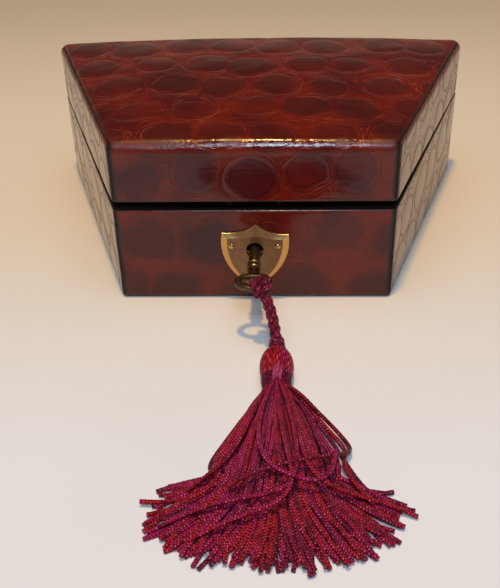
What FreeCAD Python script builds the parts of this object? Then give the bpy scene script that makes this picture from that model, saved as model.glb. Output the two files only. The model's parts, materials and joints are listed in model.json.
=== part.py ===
import FreeCAD, Part
import math
import os

# A jewellery case of leather over board, wider at the back than at the front, in millimetres.
# The origin is the middle of its underside. +Z is up, and the front with the lock faces -Y.

Vector = FreeCAD.Vector

# Case, outside
FRONT_WIDTH = 100.0
REAR_WIDTH = 171.5
CASE_DEPTH = 101.0
BASE_HEIGHT = 38.0
LID_HEIGHT = 22.6
CORNER_RADIUS = 2.4
LID_EDGE_RADIUS = 2.0
FOOT_RADIUS = 0.9

# Boards, leather and lining
LEATHER = 1.2
LEATHER_LIFT = 0.3
FRONT_WALL = 8.0
REAR_WALL = 8.0
SIDE_WALL = 6.0
BASE_BOARD = 4.0
LID_BOARD = 4.0
BOTTOM_COVER = 0.8
RIM_FACING = 0.6
FACING_INSET = 0.3
LINING = 1.6
LIP_HEIGHT = 5.0
LIP_GAP = 0.9
LID_LINING = 0.8
BASE_PAD = 6.0
LID_PAD = 5.0
PAD_EDGE_RADIUS = 2.4
PAD_GAP = 0.4

# Hinges: the lid's rest is the photographed one, a little ajar at the front
LID_AJAR = 1.7
LID_OPEN = 100.0
STOP_ROOM = 1.0
RIM_GAP = 0.5
HINGE_INSET = 2.4
HINGE_FROM_END = 39.75
LEAF_LENGTH = 24.0
LEAF_WIDTH = 4.8
LEAF = 0.9
BARREL_RADIUS = 1.7
HINGE_PIN_RADIUS = 0.8
KNUCKLE_GAP = 0.3
LEAF_SCREW_SPACING = 14.0
LEAF_SCREW_SETBACK = 3.4

# Small countersunk screws
SCREW_HEAD_RADIUS = 1.2
SCREW_SHANK_RADIUS = 0.6
SCREW_HEAD_HEIGHT = 0.6
SCREW_LENGTH = 4.6
SCREW_SLOT_WIDTH = 0.35
SCREW_SLOT_DEPTH = 0.3

# Lock in the front wall
KEY_BELOW_RIM = 16.0
LOCK_COVER_WOOD = 0.8
LOCK_SHEET = 0.7
LOCK_PLATE = 0.8
LOCK_STRIP = 1.0
LOCK_STRIP_TAB = 6.0
LOCK_FLOOR_ROOM = 1.2
BOLT_TRAVEL = 2.5
BOLT_THICKNESS = 1.6
FINGER_HEIGHT = 2.0
FINGER_LENGTH = 2.5
FINGER_POST = 2.0
FINGER_DROP = 3.0
TALON_WIDTH = 3.1
TALON_RIGHT = -1.6
TALON_DEPTH = 1.2
TALON_TOOTH = 2.0
POST_RADIUS = 0.85
POST_SHORTFALL = 0.6
SPRING_LEAF = 0.4
SPRING_WIDTH = 2.0
SPRING_HALF_SPAN = 3.0

# Link plate and staples in the lid's front wall
LINK_HALF_LENGTH = 14.0
LINK_PLATE = 0.8
LINK_SCREW_SPACING = 24.2
STAPLE_SPACING = 18.0
STAPLE_WIDTH = 2.0
STAPLE_DEPTH = 4.0
STAPLE_LEG = 0.8
STAPLE_BAR = 1.2
STAPLE_WINDOW_ROOM = 0.5
STAPLE_ROOM = 0.45
STAPLE_SETBACK = 0.1

# Shield-shaped keyhole plate, heights from the key's axis
SHIELD_WIDTH = 24.4
SHIELD_TIP = 10.8
SHIELD_SHOULDER = 6.8
SHIELD_DIP = 7.3
SHIELD_WAIST = -5.4
SHIELD_WAIST_HALF_WIDTH = 9.9
SHIELD_FOOT = -15.6
SHIELD_THICKNESS = 1.6
SHIELD_BEVEL = 1.3
KEYHOLE_RADIUS = 3.2
KEYHOLE_SLOT = 2.4
PLATE_PIN_SPACING = 16.6
PLATE_PIN_HEIGHT = 1.9
PLATE_PIN_HEAD_RADIUS = 1.1
PLATE_PIN_HEAD_HEIGHT = 0.6
PLATE_PIN_RADIUS = 0.5

# Key, lengths measured outwards from the case's front
KEY_RADIUS = 2.05
KEY_HOLLOW_ROOM = 0.09
KEY_HOLLOW_DEPTH = 4.2
KEY_TIP_GAP = 0.3
BIT_REACH = 4.5
BIT_THICKNESS = 1.5
BIT_MARGIN = 0.2
KEY_COLLARS = (11.0, 13.6)
COLLAR_RADIUS = 2.75
COLLAR_LENGTH = 1.7
BOW_START = 16.4
BOW_WIDTH = 13.2
BOW_LENGTH = 9.4
BOW_SECTION = 2.3
BOW_THICKNESS = 2.2
BOW_ROUNDING = 0.7

# Tassel: places measured from the case's front and from the table
LOOP_PLY = 1.8
LOOP_ROOM = 0.2
CORD_DIAMETER = 4.0
CORD_EXIT_SLOPE = 45.0
CORD_BENDS = ((1.0, 30.4, 15.6), (4.6, 33.4, 11.0))
TASSEL_X = 8.1
HEAD_CENTRE_OUT = 46.3
HEAD_RADIUS = 5.8
HEAD_LENGTH = 14.6
HEAD_TILT = 6.0
COLLAR_KNOT_RADIUS = 3.0
BINDING_RADIUS = 4.8
BINDING_NECK = 4.3
BINDING_LENGTH = 3.6
SKIRT_LENGTH = 68.5
SKIRT_WIDTH = 79.0
SKIRT_TIP_HEIGHT = 4.2
SKIRT_END_SAGITTA = 16.4

# Shapes of soft pieces, as shares: of the head's half length and radius
HEAD_SHOULDER = (0.72, 0.72)
HEAD_UNDERSIDE = (0.6, 0.93)
# Of the skirt's length and of its spread, and how round it is there
SKIRT_SPREAD = ((-0.02, 0, 1), (0.1, 0.2, 0.55), (0.35, 0.46, 0.25),
                (0.58, 0.82, 0.1), (0.76, 1, 0), (1.02, 0.94, 0))
SKIRT_FALL_POWER = 1.5
# Of a skirt section's half width and height, first where it is flat and then where it is round
SKIRT_FOOT = (0.94, 0.28)
SKIRT_BROW = (0.96, 0.7)
SKIRT_BROW_HEIGHT = (0.55, 0.85)
SKIRT_BULGE_SHARE = 0.52
# Of the shorter run beside a bend of the cord
BEND_SHARE = 0.45

# Fits
FIT = 0.05
MOVING_GAP = 0.3
TOLERANCE = 1e-6

# Values that follow from the sizes above
FRONT_Y = -CASE_DEPTH / 2
REAR_Y = CASE_DEPTH / 2
FLARE = math.atan((REAR_WIDTH - FRONT_WIDTH) / 2 / CASE_DEPTH)
REACH = REAR_WIDTH + CASE_DEPTH + BASE_HEIGHT + LID_HEIGHT
RIM_UNDER = BASE_HEIGHT - RIM_FACING
FRONT_INNER = FRONT_Y + LEATHER + FRONT_WALL
REAR_INNER = REAR_Y - LEATHER - REAR_WALL
SIDE_INNER = LEATHER + SIDE_WALL
FLOOR_TOP = BOTTOM_COVER + BASE_BOARD
LID_THINNING = LIP_GAP + LID_LINING
LID_FRONT_INNER = FRONT_INNER - LID_THINNING
LID_REAR_INNER = REAR_INNER + LID_THINNING
LID_SIDE_INNER = SIDE_INNER - LID_THINNING
LID_RIM = BASE_HEIGHT + RIM_GAP
LID_TOP = LID_RIM + LID_HEIGHT
LID_BOARD_UNDER = LID_TOP - LEATHER - LID_BOARD
HINGE_SPREAD = REAR_WIDTH - 2 * HINGE_FROM_END
HINGE_Y = REAR_Y - HINGE_INSET
HINGE_Z = BASE_HEIGHT + RIM_GAP / 2
HINGE_POINT = Vector(0, HINGE_Y, HINGE_Z)
BEVEL = math.radians((LID_OPEN + LID_AJAR) / 2 + STOP_ROOM)
KEY_HEIGHT = BASE_HEIGHT - KEY_BELOW_RIM
LOCK_FRONT = FRONT_Y + LEATHER + LOCK_COVER_WOOD
LOCK_BACK = FRONT_INNER - LOCK_PLATE
LOCK_TOP = BASE_HEIGHT - LOCK_STRIP
LOCK_BOTTOM = KEY_HEIGHT - BIT_REACH - LOCK_FLOOR_ROOM - LOCK_SHEET
BOLT_Y = LID_FRONT_INNER - STAPLE_DEPTH / 2 - STAPLE_SETBACK
FINGER_Z = LOCK_TOP - FINGER_DROP
STAPLE_FOOT = FINGER_Z - FINGER_HEIGHT / 2 - STAPLE_WINDOW_ROOM - STAPLE_BAR
BAR_TOP = STAPLE_FOOT - 2 * MOVING_GAP
POST_BACKSET = STAPLE_WIDTH / 2 + 2 * STAPLE_ROOM + FINGER_LENGTH
LOCK_HALF_WIDTH = STAPLE_SPACING / 2 + POST_BACKSET + FINGER_POST + BOLT_TRAVEL + MOVING_GAP + LOCK_SHEET
STRIP_HALF_LENGTH = LOCK_HALF_WIDTH + LOCK_STRIP_TAB
BOW_CENTRE = BOW_START + BOW_LENGTH / 2
RIM_CENTRE = BOW_START + BOW_LENGTH - BOW_SECTION / 2
LOOP_RADIUS = math.hypot(BOW_SECTION, BOW_THICKNESS) / 2 + LOOP_ROOM + LOOP_PLY / 2
COLLAR_FLAT = math.sqrt(COLLAR_KNOT_RADIUS ** 2 - CORD_DIAMETER ** 2 / 4)


# Helpers

def box(x0, x1, y0, y1, z0, z1):
    return Part.makeBox(x1 - x0, y1 - y0, z1 - z0, Vector(x0, y0, z0))


def rod(radius, start, end):
    along = end - start
    return Part.makeCylinder(radius, along.Length, start, along)


def tidy(shape):
    # One solid stays a solid, several become a group
    solids = shape.removeSplitter().Solids
    return solids[0] if len(solids) == 1 else Part.makeCompound(solids)


def polygon(points):
    return Part.Face(Part.makePolygon(list(points) + [points[0]]))


def half_width(y, inset=0.0):
    return FRONT_WIDTH / 2 + (y - FRONT_Y) * math.tan(FLARE) - inset / math.cos(FLARE)


def plan_prism(front_y, rear_y, side_inset, low, high):
    front = half_width(front_y, side_inset)
    rear = half_width(rear_y, side_inset)
    corners = ((-front, front_y), (front, front_y), (rear, rear_y), (-rear, rear_y))
    return polygon([Vector(x, y, low) for x, y in corners]).extrude(Vector(0, 0, high - low))


def inset_prism(inset, low, high):
    return plan_prism(FRONT_Y + inset, REAR_Y - inset, inset, low, high)


def round_uprights(solid, radius):
    uprights = [edge for edge in solid.Edges
                if abs(edge.tangentAt(edge.FirstParameter).z) > 1 - TOLERANCE]
    return solid.makeFillet(radius, uprights)


def round_level(solid, radius, height):
    level = [edge for edge in solid.Edges
             if max(abs(edge.BoundBox.ZMin - height), abs(edge.BoundBox.ZMax - height)) < TOLERANCE]
    return solid.makeFillet(radius, level)


def four_walls(block, front_y, rear_y, side_inset):
    # Front and rear boards run right across, and the sides fit between them
    front = block.common(box(-REACH, REACH, -REACH, front_y, -REACH, REACH))
    rear = block.common(box(-REACH, REACH, rear_y, REACH, -REACH, REACH))
    middle = block.common(box(-REACH, REACH, front_y, rear_y, -REACH, REACH))
    sides = middle.cut(plan_prism(front_y, rear_y, side_inset, -REACH, REACH))
    left = sides.common(box(-REACH, 0, -REACH, REACH, -REACH, REACH))
    right = sides.common(box(0, REACH, -REACH, REACH, -REACH, REACH))
    return {"front": front, "rear": rear, "left": left, "right": right}


def past_bevel(direction, skin):
    # Everything beyond the slope of the rear rim: -1 for the base's slope, +1 for the lid's
    along = Vector(0, math.cos(BEVEL), direction * math.sin(BEVEL))
    inward = Vector(0, -math.sin(BEVEL), direction * math.cos(BEVEL))
    start = HINGE_POINT + inward * skin - Vector(REACH, 0, 0)
    corners = [start - along * REACH, start + along * REACH]
    corners += [corner - inward * REACH for corner in reversed(corners)]
    return polygon(corners).extrude(Vector(2 * REACH, 0, 0))


def facing(direction, front_y, rear_y, side_inset):
    low = RIM_UNDER if direction < 0 else LID_RIM
    outer = inset_prism(FACING_INSET, low, low + RIM_FACING)
    outer = round_uprights(outer, CORNER_RADIUS - FACING_INSET)
    ring = outer.cut(plan_prism(front_y, rear_y, side_inset, -REACH, REACH))
    return ring.cut(past_bevel(direction, LEATHER))


def countersunk_head(room):
    return Part.makeCone(SCREW_SHANK_RADIUS + room, SCREW_HEAD_RADIUS + room, SCREW_HEAD_HEIGHT,
                         Vector(0, 0, -SCREW_HEAD_HEIGHT))


def screw(direction, x, y, z):
    # A slotted countersunk screw whose flat head lies at z and faces up or down
    shank = rod(SCREW_SHANK_RADIUS, Vector(0, 0, -SCREW_LENGTH), Vector(0, 0, -SCREW_HEAD_HEIGHT / 2))
    slot = box(-SCREW_HEAD_RADIUS, SCREW_HEAD_RADIUS, -SCREW_SLOT_WIDTH / 2, SCREW_SLOT_WIDTH / 2,
               -SCREW_SLOT_DEPTH, SCREW_SLOT_DEPTH)
    return turned_to(countersunk_head(0).fuse(shank).cut(slot), direction, x, y, z)


def screw_seat(direction, x, y, z):
    shank = rod(SCREW_SHANK_RADIUS + FIT, Vector(0, 0, -SCREW_LENGTH - FIT), Vector(0, 0, 0))
    return turned_to(countersunk_head(FIT).fuse(shank), direction, x, y, z)


def turned_to(shape, direction, x, y, z):
    if direction < 0:
        shape.rotate(Vector(0, 0, 0), Vector(1, 0, 0), 180)
    shape.translate(Vector(x, y, z))
    return shape


def out(x, distance, z):
    # A point a distance in front of the case
    return Vector(x, FRONT_Y - distance, z)


# Hinges

def leaf_plate(x, direction, room):
    face = HINGE_Z + direction * RIM_GAP / 2
    low, high = sorted((face, face + direction * LEAF))
    half = LEAF_LENGTH / 2 + room
    return box(x - half, x + half, HINGE_Y - LEAF_WIDTH - room, HINGE_Y, low, high)


def leaf_screw_places(direction):
    face = HINGE_Z + direction * RIM_GAP / 2
    return [(x + offset, HINGE_Y - LEAF_SCREW_SETBACK, face)
            for x in (-HINGE_SPREAD / 2, HINGE_SPREAD / 2)
            for offset in (-LEAF_SCREW_SPACING / 2, LEAF_SCREW_SPACING / 2)]


def barrel(x, start, end, radius):
    return rod(radius, Vector(x + start, HINGE_Y, HINGE_Z), Vector(x + end, HINGE_Y, HINGE_Z))


def hinge_leaf(x, direction):
    third = LEAF_LENGTH / 6
    half_gap = KNUCKLE_GAP / 2
    outer = [(-LEAF_LENGTH / 2, -third - half_gap), (third + half_gap, LEAF_LENGTH / 2)]
    middle = [(-third + half_gap, third - half_gap)]
    own, other = (outer, middle) if direction < 0 else (middle, outer)
    leaf = leaf_plate(x, direction, 0)
    for start, end in other:
        leaf = leaf.cut(barrel(x, start - KNUCKLE_GAP, end + KNUCKLE_GAP, BARREL_RADIUS + KNUCKLE_GAP))
    for start, end in own:
        leaf = leaf.fuse(barrel(x, start, end, BARREL_RADIUS))
    leaf = leaf.cut(barrel(x, -LEAF_LENGTH, LEAF_LENGTH, HINGE_PIN_RADIUS + FIT))
    for place in leaf_screw_places(direction):
        leaf = leaf.cut(screw_seat(-direction, *place))
    return leaf


def hinge_recess(direction):
    # Room for both leaves, their barrels and their screws in the rear rim
    cuts = [screw_seat(-direction, *place) for place in leaf_screw_places(direction)]
    for x in (-HINGE_SPREAD / 2, HINGE_SPREAD / 2):
        cuts.append(leaf_plate(x, direction, FIT))
        half = LEAF_LENGTH / 2 + KNUCKLE_GAP
        cuts.append(barrel(x, -half, half, BARREL_RADIUS + KNUCKLE_GAP))
    return Part.makeCompound(cuts)


def add_hinges(nodes):
    for side, x in (("left", -HINGE_SPREAD / 2), ("right", HINGE_SPREAD / 2)):
        nodes["hinge_base_leaf_" + side] = hinge_leaf(x, -1)
        nodes["hinge_lid_leaf_" + side] = hinge_leaf(x, 1)
        nodes["hinge_pin_" + side] = barrel(x, -LEAF_LENGTH / 2, LEAF_LENGTH / 2, HINGE_PIN_RADIUS)
    nodes["hinge_base_screws"] = Part.makeCompound([screw(1, *place) for place in leaf_screw_places(-1)])
    nodes["hinge_lid_screws"] = Part.makeCompound([screw(-1, *place) for place in leaf_screw_places(1)])


# Lock: cap and plate let into the front wall, bolt, post, spring and screws

def keyhole(start_y, end_y):
    # A round hole with a slot below it for the bit, through everything in front of the bolt
    half_slot = KEYHOLE_SLOT / 2
    low = KEY_HEIGHT - BIT_REACH - MOVING_GAP
    round_hole = rod(KEYHOLE_RADIUS, Vector(0, start_y, KEY_HEIGHT), Vector(0, end_y, KEY_HEIGHT))
    return round_hole.fuse(box(-half_slot, half_slot, start_y, end_y, low, KEY_HEIGHT))


def lock_block(room):
    return box(-LOCK_HALF_WIDTH - room, LOCK_HALF_WIDTH + room, LOCK_FRONT - room, FRONT_INNER,
               LOCK_BOTTOM - room, BASE_HEIGHT)


def lock_strip(room):
    # The strip that shows on the base's rim
    return box(-STRIP_HALF_LENGTH - room, STRIP_HALF_LENGTH + room, LOCK_FRONT - room, FRONT_INNER,
               LOCK_TOP, BASE_HEIGHT)


def lock_screw_places():
    x = STRIP_HALF_LENGTH - LOCK_STRIP_TAB / 2
    y = (LOCK_FRONT + FRONT_INNER) / 2
    return [(-x, y, BASE_HEIGHT), (x, y, BASE_HEIGHT)]


def staple_places():
    return (-STAPLE_SPACING / 2, STAPLE_SPACING / 2)


def lock_post(radius):
    foot = Vector(0, FRONT_INNER, KEY_HEIGHT)
    tip = Vector(0, FRONT_INNER - LOCK_PLATE - KEY_TIP_GAP - KEY_HOLLOW_DEPTH + POST_SHORTFALL, KEY_HEIGHT)
    return rod(radius, foot, tip)


def lock_plate():
    plate = box(-LOCK_HALF_WIDTH, LOCK_HALF_WIDTH, LOCK_BACK, FRONT_INNER, LOCK_BOTTOM, LOCK_TOP)
    plate = plate.fuse(lock_strip(0)).cut(lock_post(POST_RADIUS))
    half_depth = STAPLE_DEPTH / 2 + STAPLE_ROOM
    half_slot = STAPLE_WIDTH / 2 + STAPLE_ROOM
    for x in staple_places():
        slot = box(x - half_slot, x + half_slot, BOLT_Y - half_depth, BOLT_Y + half_depth, 0, REACH)
        plate = plate.cut(slot)
    for place in lock_screw_places():
        plate = plate.cut(screw_seat(1, *place))
    return plate


def lock_cap():
    half_inside = LOCK_HALF_WIDTH - LOCK_SHEET
    inside = box(-half_inside, half_inside, LOCK_FRONT + LOCK_SHEET, LOCK_BACK,
                 LOCK_BOTTOM + LOCK_SHEET, LOCK_TOP)
    cap = box(-LOCK_HALF_WIDTH, LOCK_HALF_WIDTH, LOCK_FRONT, LOCK_BACK, LOCK_BOTTOM, LOCK_TOP)
    return cap.cut(inside).cut(keyhole(LOCK_FRONT, LOCK_FRONT + LOCK_SHEET))


def lock_bolt():
    # A bar with two upright fingers that enter the staples, and a notch below that the key's bit turns in
    y0 = BOLT_Y - BOLT_THICKNESS / 2
    y1 = BOLT_Y + BOLT_THICKNESS / 2
    notch_roof = KEY_HEIGHT + BIT_REACH + MOVING_GAP
    left_post = -STAPLE_SPACING / 2 - POST_BACKSET - FINGER_POST
    right_post = STAPLE_SPACING / 2 - POST_BACKSET
    bolt = box(left_post, right_post, y0, y1, notch_roof, BAR_TOP)
    for x in staple_places():
        post = x - POST_BACKSET - FINGER_POST
        bolt = bolt.fuse(box(post, post + FINGER_POST, y0, y1, notch_roof, FINGER_Z + FINGER_HEIGHT / 2))
        bolt = bolt.fuse(box(post, post + FINGER_POST + FINGER_LENGTH, y0, y1,
                             FINGER_Z - FINGER_HEIGHT / 2, FINGER_Z + FINGER_HEIGHT / 2))
    for tooth in (TALON_RIGHT, TALON_RIGHT - TALON_WIDTH - TALON_TOOTH):
        bolt = bolt.fuse(box(tooth, tooth + TALON_TOOTH, y0, y1, notch_roof - TALON_DEPTH, BAR_TOP))
    return bolt


def lock_spring():
    # A V of strip that hangs under the rim strip and presses on the bolt
    left_limit = -STAPLE_SPACING / 2 + STAPLE_WIDTH / 2
    right_limit = STAPLE_SPACING / 2 - POST_BACKSET - FINGER_POST - BOLT_TRAVEL
    x = (left_limit + right_limit) / 2
    y = BOLT_Y - SPRING_WIDTH / 2
    low = BAR_TOP + MOVING_GAP
    wide = SPRING_HALF_SPAN
    narrow = SPRING_HALF_SPAN - SPRING_LEAF
    drop = SPRING_LEAF * (LOCK_TOP - low) / SPRING_HALF_SPAN
    outline = ((x - wide, LOCK_TOP), (x, low), (x + wide, LOCK_TOP),
               (x + narrow, LOCK_TOP), (x, low + drop), (x - narrow, LOCK_TOP))
    return polygon([Vector(px, y, pz) for px, pz in outline]).extrude(Vector(0, SPRING_WIDTH, 0))


def add_lock(nodes):
    nodes["lock_plate"] = lock_plate()
    nodes["lock_cap"] = lock_cap()
    nodes["lock_bolt"] = lock_bolt()
    nodes["lock_post"] = lock_post(POST_RADIUS)
    nodes["lock_spring"] = lock_spring()
    nodes["lock_screws"] = Part.makeCompound([screw(1, *place) for place in lock_screw_places()])


def link_plate_body(room):
    edge = STAPLE_DEPTH / 2 + STAPLE_SETBACK + room
    return box(-LINK_HALF_LENGTH - room, LINK_HALF_LENGTH + room, BOLT_Y - edge, BOLT_Y + edge,
               LID_RIM, LID_RIM + LINK_PLATE)


def link_screw_places():
    return [(x, BOLT_Y, LID_RIM) for x in (-LINK_SCREW_SPACING / 2, LINK_SCREW_SPACING / 2)]


def link_plate():
    # Two staples hang from the plate, each a loop that the bolt's finger enters when the lid is locked
    lift = (HINGE_Y - BOLT_Y) * math.sin(math.radians(LID_AJAR))
    foot = STAPLE_FOOT - lift
    half_width_of_staple = STAPLE_WIDTH / 2
    half_depth = STAPLE_DEPTH / 2
    half_window = half_depth - STAPLE_LEG
    window_top = foot + STAPLE_BAR + FINGER_HEIGHT + 2 * STAPLE_WINDOW_ROOM
    plate = link_plate_body(0)
    for x in staple_places():
        staple = box(x - half_width_of_staple, x + half_width_of_staple,
                     BOLT_Y - half_depth, BOLT_Y + half_depth, foot, LID_RIM + LINK_PLATE)
        window = box(x - STAPLE_WIDTH, x + STAPLE_WIDTH, BOLT_Y - half_window, BOLT_Y + half_window,
                     foot + STAPLE_BAR, window_top)
        plate = plate.fuse(staple.cut(window))
    for place in link_screw_places():
        plate = plate.cut(screw_seat(-1, *place))
    return plate


# Keyhole plate and its pins

def shield_point(x, height):
    return Vector(x, FRONT_Y, KEY_HEIGHT + height)


def shield_outline():
    half = SHIELD_WIDTH / 2
    tip = shield_point(0, SHIELD_TIP)
    foot = shield_point(0, SHIELD_FOOT)
    edges = []
    for side in (1, -1):
        shoulder = shield_point(side * half, SHIELD_SHOULDER)
        dip = shield_point(side * half / 2, SHIELD_DIP)
        waist = shield_point(side * SHIELD_WAIST_HALF_WIDTH, SHIELD_WAIST)
        edges.append(Part.Arc(tip, dip, shoulder).toShape())
        edges.append(Part.Arc(shoulder, waist, foot).toShape())
    return Part.Wire(Part.__sortEdges__(edges))


def plate_pin_places():
    return [shield_point(x, PLATE_PIN_HEIGHT) for x in (-PLATE_PIN_SPACING / 2, PLATE_PIN_SPACING / 2)]


def plate_pin_shanks(room):
    # Through plate and leather, and into the wood in front of the lock
    length = SHIELD_THICKNESS + LEATHER + LOCK_COVER_WOOD - FIT + room
    starts = [place - Vector(0, SHIELD_THICKNESS, 0) for place in plate_pin_places()]
    return [rod(PLATE_PIN_RADIUS + room, start, start + Vector(0, length, 0)) for start in starts]


def plate_pin_holes():
    return Part.makeCompound(plate_pin_shanks(FIT))


def plate_pins():
    # Domed heads on the plate
    dome = (PLATE_PIN_HEAD_RADIUS ** 2 + PLATE_PIN_HEAD_HEIGHT ** 2) / (2 * PLATE_PIN_HEAD_HEIGHT)
    front_of_plate = box(-REACH, REACH, -REACH, FRONT_Y - SHIELD_THICKNESS, -REACH, REACH)
    pins = []
    for place, shank in zip(plate_pin_places(), plate_pin_shanks(0)):
        centre = place + Vector(0, dome - PLATE_PIN_HEAD_HEIGHT - SHIELD_THICKNESS, 0)
        pins.append(shank.fuse(Part.makeSphere(dome, centre).common(front_of_plate)))
    return Part.makeCompound(pins)


def keyhole_plate():
    plate = Part.Face(shield_outline()).extrude(Vector(0, -SHIELD_THICKNESS, 0))
    face = FRONT_Y - SHIELD_THICKNESS
    plate = plate.makeChamfer(SHIELD_BEVEL,
                              [edge for edge in plate.Edges if edge.BoundBox.YMax < face + TOLERANCE])
    return plate.cut(keyhole(face, FRONT_Y)).cut(plate_pin_holes())


# Key, and the loop of cord on its bow

def key():
    tip = Vector(0, LOCK_BACK - KEY_TIP_GAP, KEY_HEIGHT)
    shank = rod(KEY_RADIUS, tip, out(0, BOW_START + BOW_SECTION / 2, KEY_HEIGHT))
    for centre in KEY_COLLARS:
        ring = rod(COLLAR_RADIUS, out(0, centre - COLLAR_LENGTH / 2, KEY_HEIGHT),
                   out(0, centre + COLLAR_LENGTH / 2, KEY_HEIGHT))
        shank = shank.fuse(ring.makeFillet(COLLAR_LENGTH / 2 - FIT, ring.Edges[:1] + ring.Edges[2:3]))
    bit_half = BOLT_THICKNESS / 2 + BIT_MARGIN
    bit = box(-BIT_REACH, 0, BOLT_Y - bit_half, BOLT_Y + bit_half,
              KEY_HEIGHT - BIT_THICKNESS / 2, KEY_HEIGHT + BIT_THICKNESS / 2)
    hollow = rod(POST_RADIUS + KEY_HOLLOW_ROOM, tip, tip - Vector(0, KEY_HOLLOW_DEPTH, 0))
    return shank.fuse(bow()).fuse(bit).cut(hollow)


def oval(width, length, z):
    centre = out(0, BOW_CENTRE, z)
    right = centre + Vector(width / 2, 0, 0)
    front = centre + Vector(0, length / 2, 0)
    return Part.Wire(Part.Ellipse(right, front, centre).toShape())


def bow():
    # An oval ring that lies level when the key is as photographed
    low = KEY_HEIGHT - BOW_THICKNESS / 2
    rise = Vector(0, 0, BOW_THICKNESS)
    outer = Part.Face(oval(BOW_WIDTH, BOW_LENGTH, low)).extrude(rise)
    inner = Part.Face(oval(BOW_WIDTH - 2 * BOW_SECTION, BOW_LENGTH - 2 * BOW_SECTION, low)).extrude(rise)
    ring = outer.cut(inner)
    return ring.makeFillet(BOW_ROUNDING, [edge for edge in ring.Edges if edge.BoundBox.ZLength < TOLERANCE])


def tassel_loop():
    return Part.makeTorus(LOOP_RADIUS, LOOP_PLY / 2, out(0, RIM_CENTRE, KEY_HEIGHT), Vector(1, 0, 0))


# Tassel on the table

def head_axis(distance):
    # A point along the tassel's head, outwards from its middle
    tilt = math.radians(HEAD_TILT)
    along = distance * math.cos(tilt)
    drop = distance * math.sin(tilt)
    return out(TASSEL_X, HEAD_CENTRE_OUT + along, HEAD_RADIUS - drop)


def collar_centre():
    return head_axis(-HEAD_LENGTH / 2 - COLLAR_FLAT)


def cord_route():
    # From just clear of the loop on the bow, down to a flat on the collar knot
    clear = LOOP_RADIUS + LOOP_PLY / 2 + MOVING_GAP
    slope = math.radians(CORD_EXIT_SLOPE)
    top = out(0, RIM_CENTRE + clear * math.cos(slope), KEY_HEIGHT - clear * math.sin(slope))
    bends = [out(*bend) for bend in CORD_BENDS]
    last_run = collar_centre() - bends[-1]
    return [top] + bends + [collar_centre() - last_run.normalize() * COLLAR_FLAT]


def cord_tube(points, diameter):
    # Straight runs joined by tangent arcs, each as large as its two runs allow
    edges = []
    last = points[0]
    for before, corner, after in zip(points, points[1:], points[2:]):
        back = (before - corner).normalize()
        ahead = (after - corner).normalize()
        turn = math.pi - back.getAngle(ahead)
        setback = BEND_SHARE * min((before - corner).Length, (after - corner).Length)
        radius = setback / math.tan(turn / 2)
        middle = (back + ahead).normalize()
        start = corner + back * setback
        end = corner + ahead * setback
        crown = corner + middle * (radius / math.cos(turn / 2) - radius)
        edges.append(Part.LineSegment(last, start).toShape())
        edges.append(Part.Arc(start, crown, end).toShape())
        print("cord bend radius", round(radius, 2))
        last = end
    edges.append(Part.LineSegment(last, points[-1]).toShape())
    path = Part.Wire(edges)
    ring = Part.Wire(Part.Circle(points[0], points[1] - points[0], diameter / 2).toShape())
    tube = path.makePipeShell([ring], True, False)
    print("cord length", round(path.Length, 2), "volume over section times length",
          round(tube.Volume / (math.pi * diameter ** 2 / 4 * path.Length), 4))
    return tube


def along_head(arcs):
    # Turn a half outline of arcs through (distance, radius) points about the head's axis
    axis = (head_axis(1) - head_axis(0)).normalize()
    upright = Vector(0, 0, 1)
    across = (upright - axis * upright.dot(axis)).normalize()

    def point(place):
        return head_axis(place[0]) + across * place[1]

    first = arcs[0][0]
    last = arcs[-1][-1]
    edges = [Part.LineSegment(head_axis(first[0]), point(first)).toShape()]
    for arc in arcs:
        edges.append(Part.Arc(*[point(place) for place in arc]).toShape())
    edges.append(Part.LineSegment(point(last), head_axis(last[0])).toShape())
    edges.append(Part.LineSegment(head_axis(last[0]), head_axis(first[0])).toShape())
    return Part.Face(Part.Wire(edges)).revolve(head_axis(0), axis, 360)


def tassel_collar():
    # A round knot with a flat towards the cord and a flat towards the head
    centre = collar_centre()
    knot = Part.makeSphere(COLLAR_KNOT_RADIUS, centre)
    for seat in (cord_route()[-1], head_axis(-HEAD_LENGTH / 2)):
        away = (seat - centre).normalize()
        knot = knot.cut(rod(COLLAR_KNOT_RADIUS, seat, seat + away * COLLAR_KNOT_RADIUS))
    return knot


def tassel_head():
    half = HEAD_LENGTH / 2
    mouth = CORD_DIAMETER / 2
    shoulder = (-half * HEAD_SHOULDER[0], HEAD_RADIUS * HEAD_SHOULDER[1])
    underside = (half * HEAD_UNDERSIDE[0], HEAD_RADIUS * HEAD_UNDERSIDE[1])
    bulb = along_head([((-half, mouth), shoulder, (0, HEAD_RADIUS)),
                       ((0, HEAD_RADIUS), underside, (half, BINDING_NECK))])
    return above_table(bulb)


def above_table(soft):
    # A soft piece lies flat where it would dip below the table
    return soft.cut(box(-REACH, REACH, -REACH, REACH, -REACH, 0))


def tassel_binding():
    start = HEAD_LENGTH / 2
    end = start + BINDING_LENGTH
    return along_head([((start, BINDING_NECK), ((start + end) / 2, BINDING_RADIUS), (end, BINDING_NECK))])


def mixed(flat_and_round, roundness):
    flat, full = flat_and_round
    return flat + (full - flat) * roundness


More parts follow.
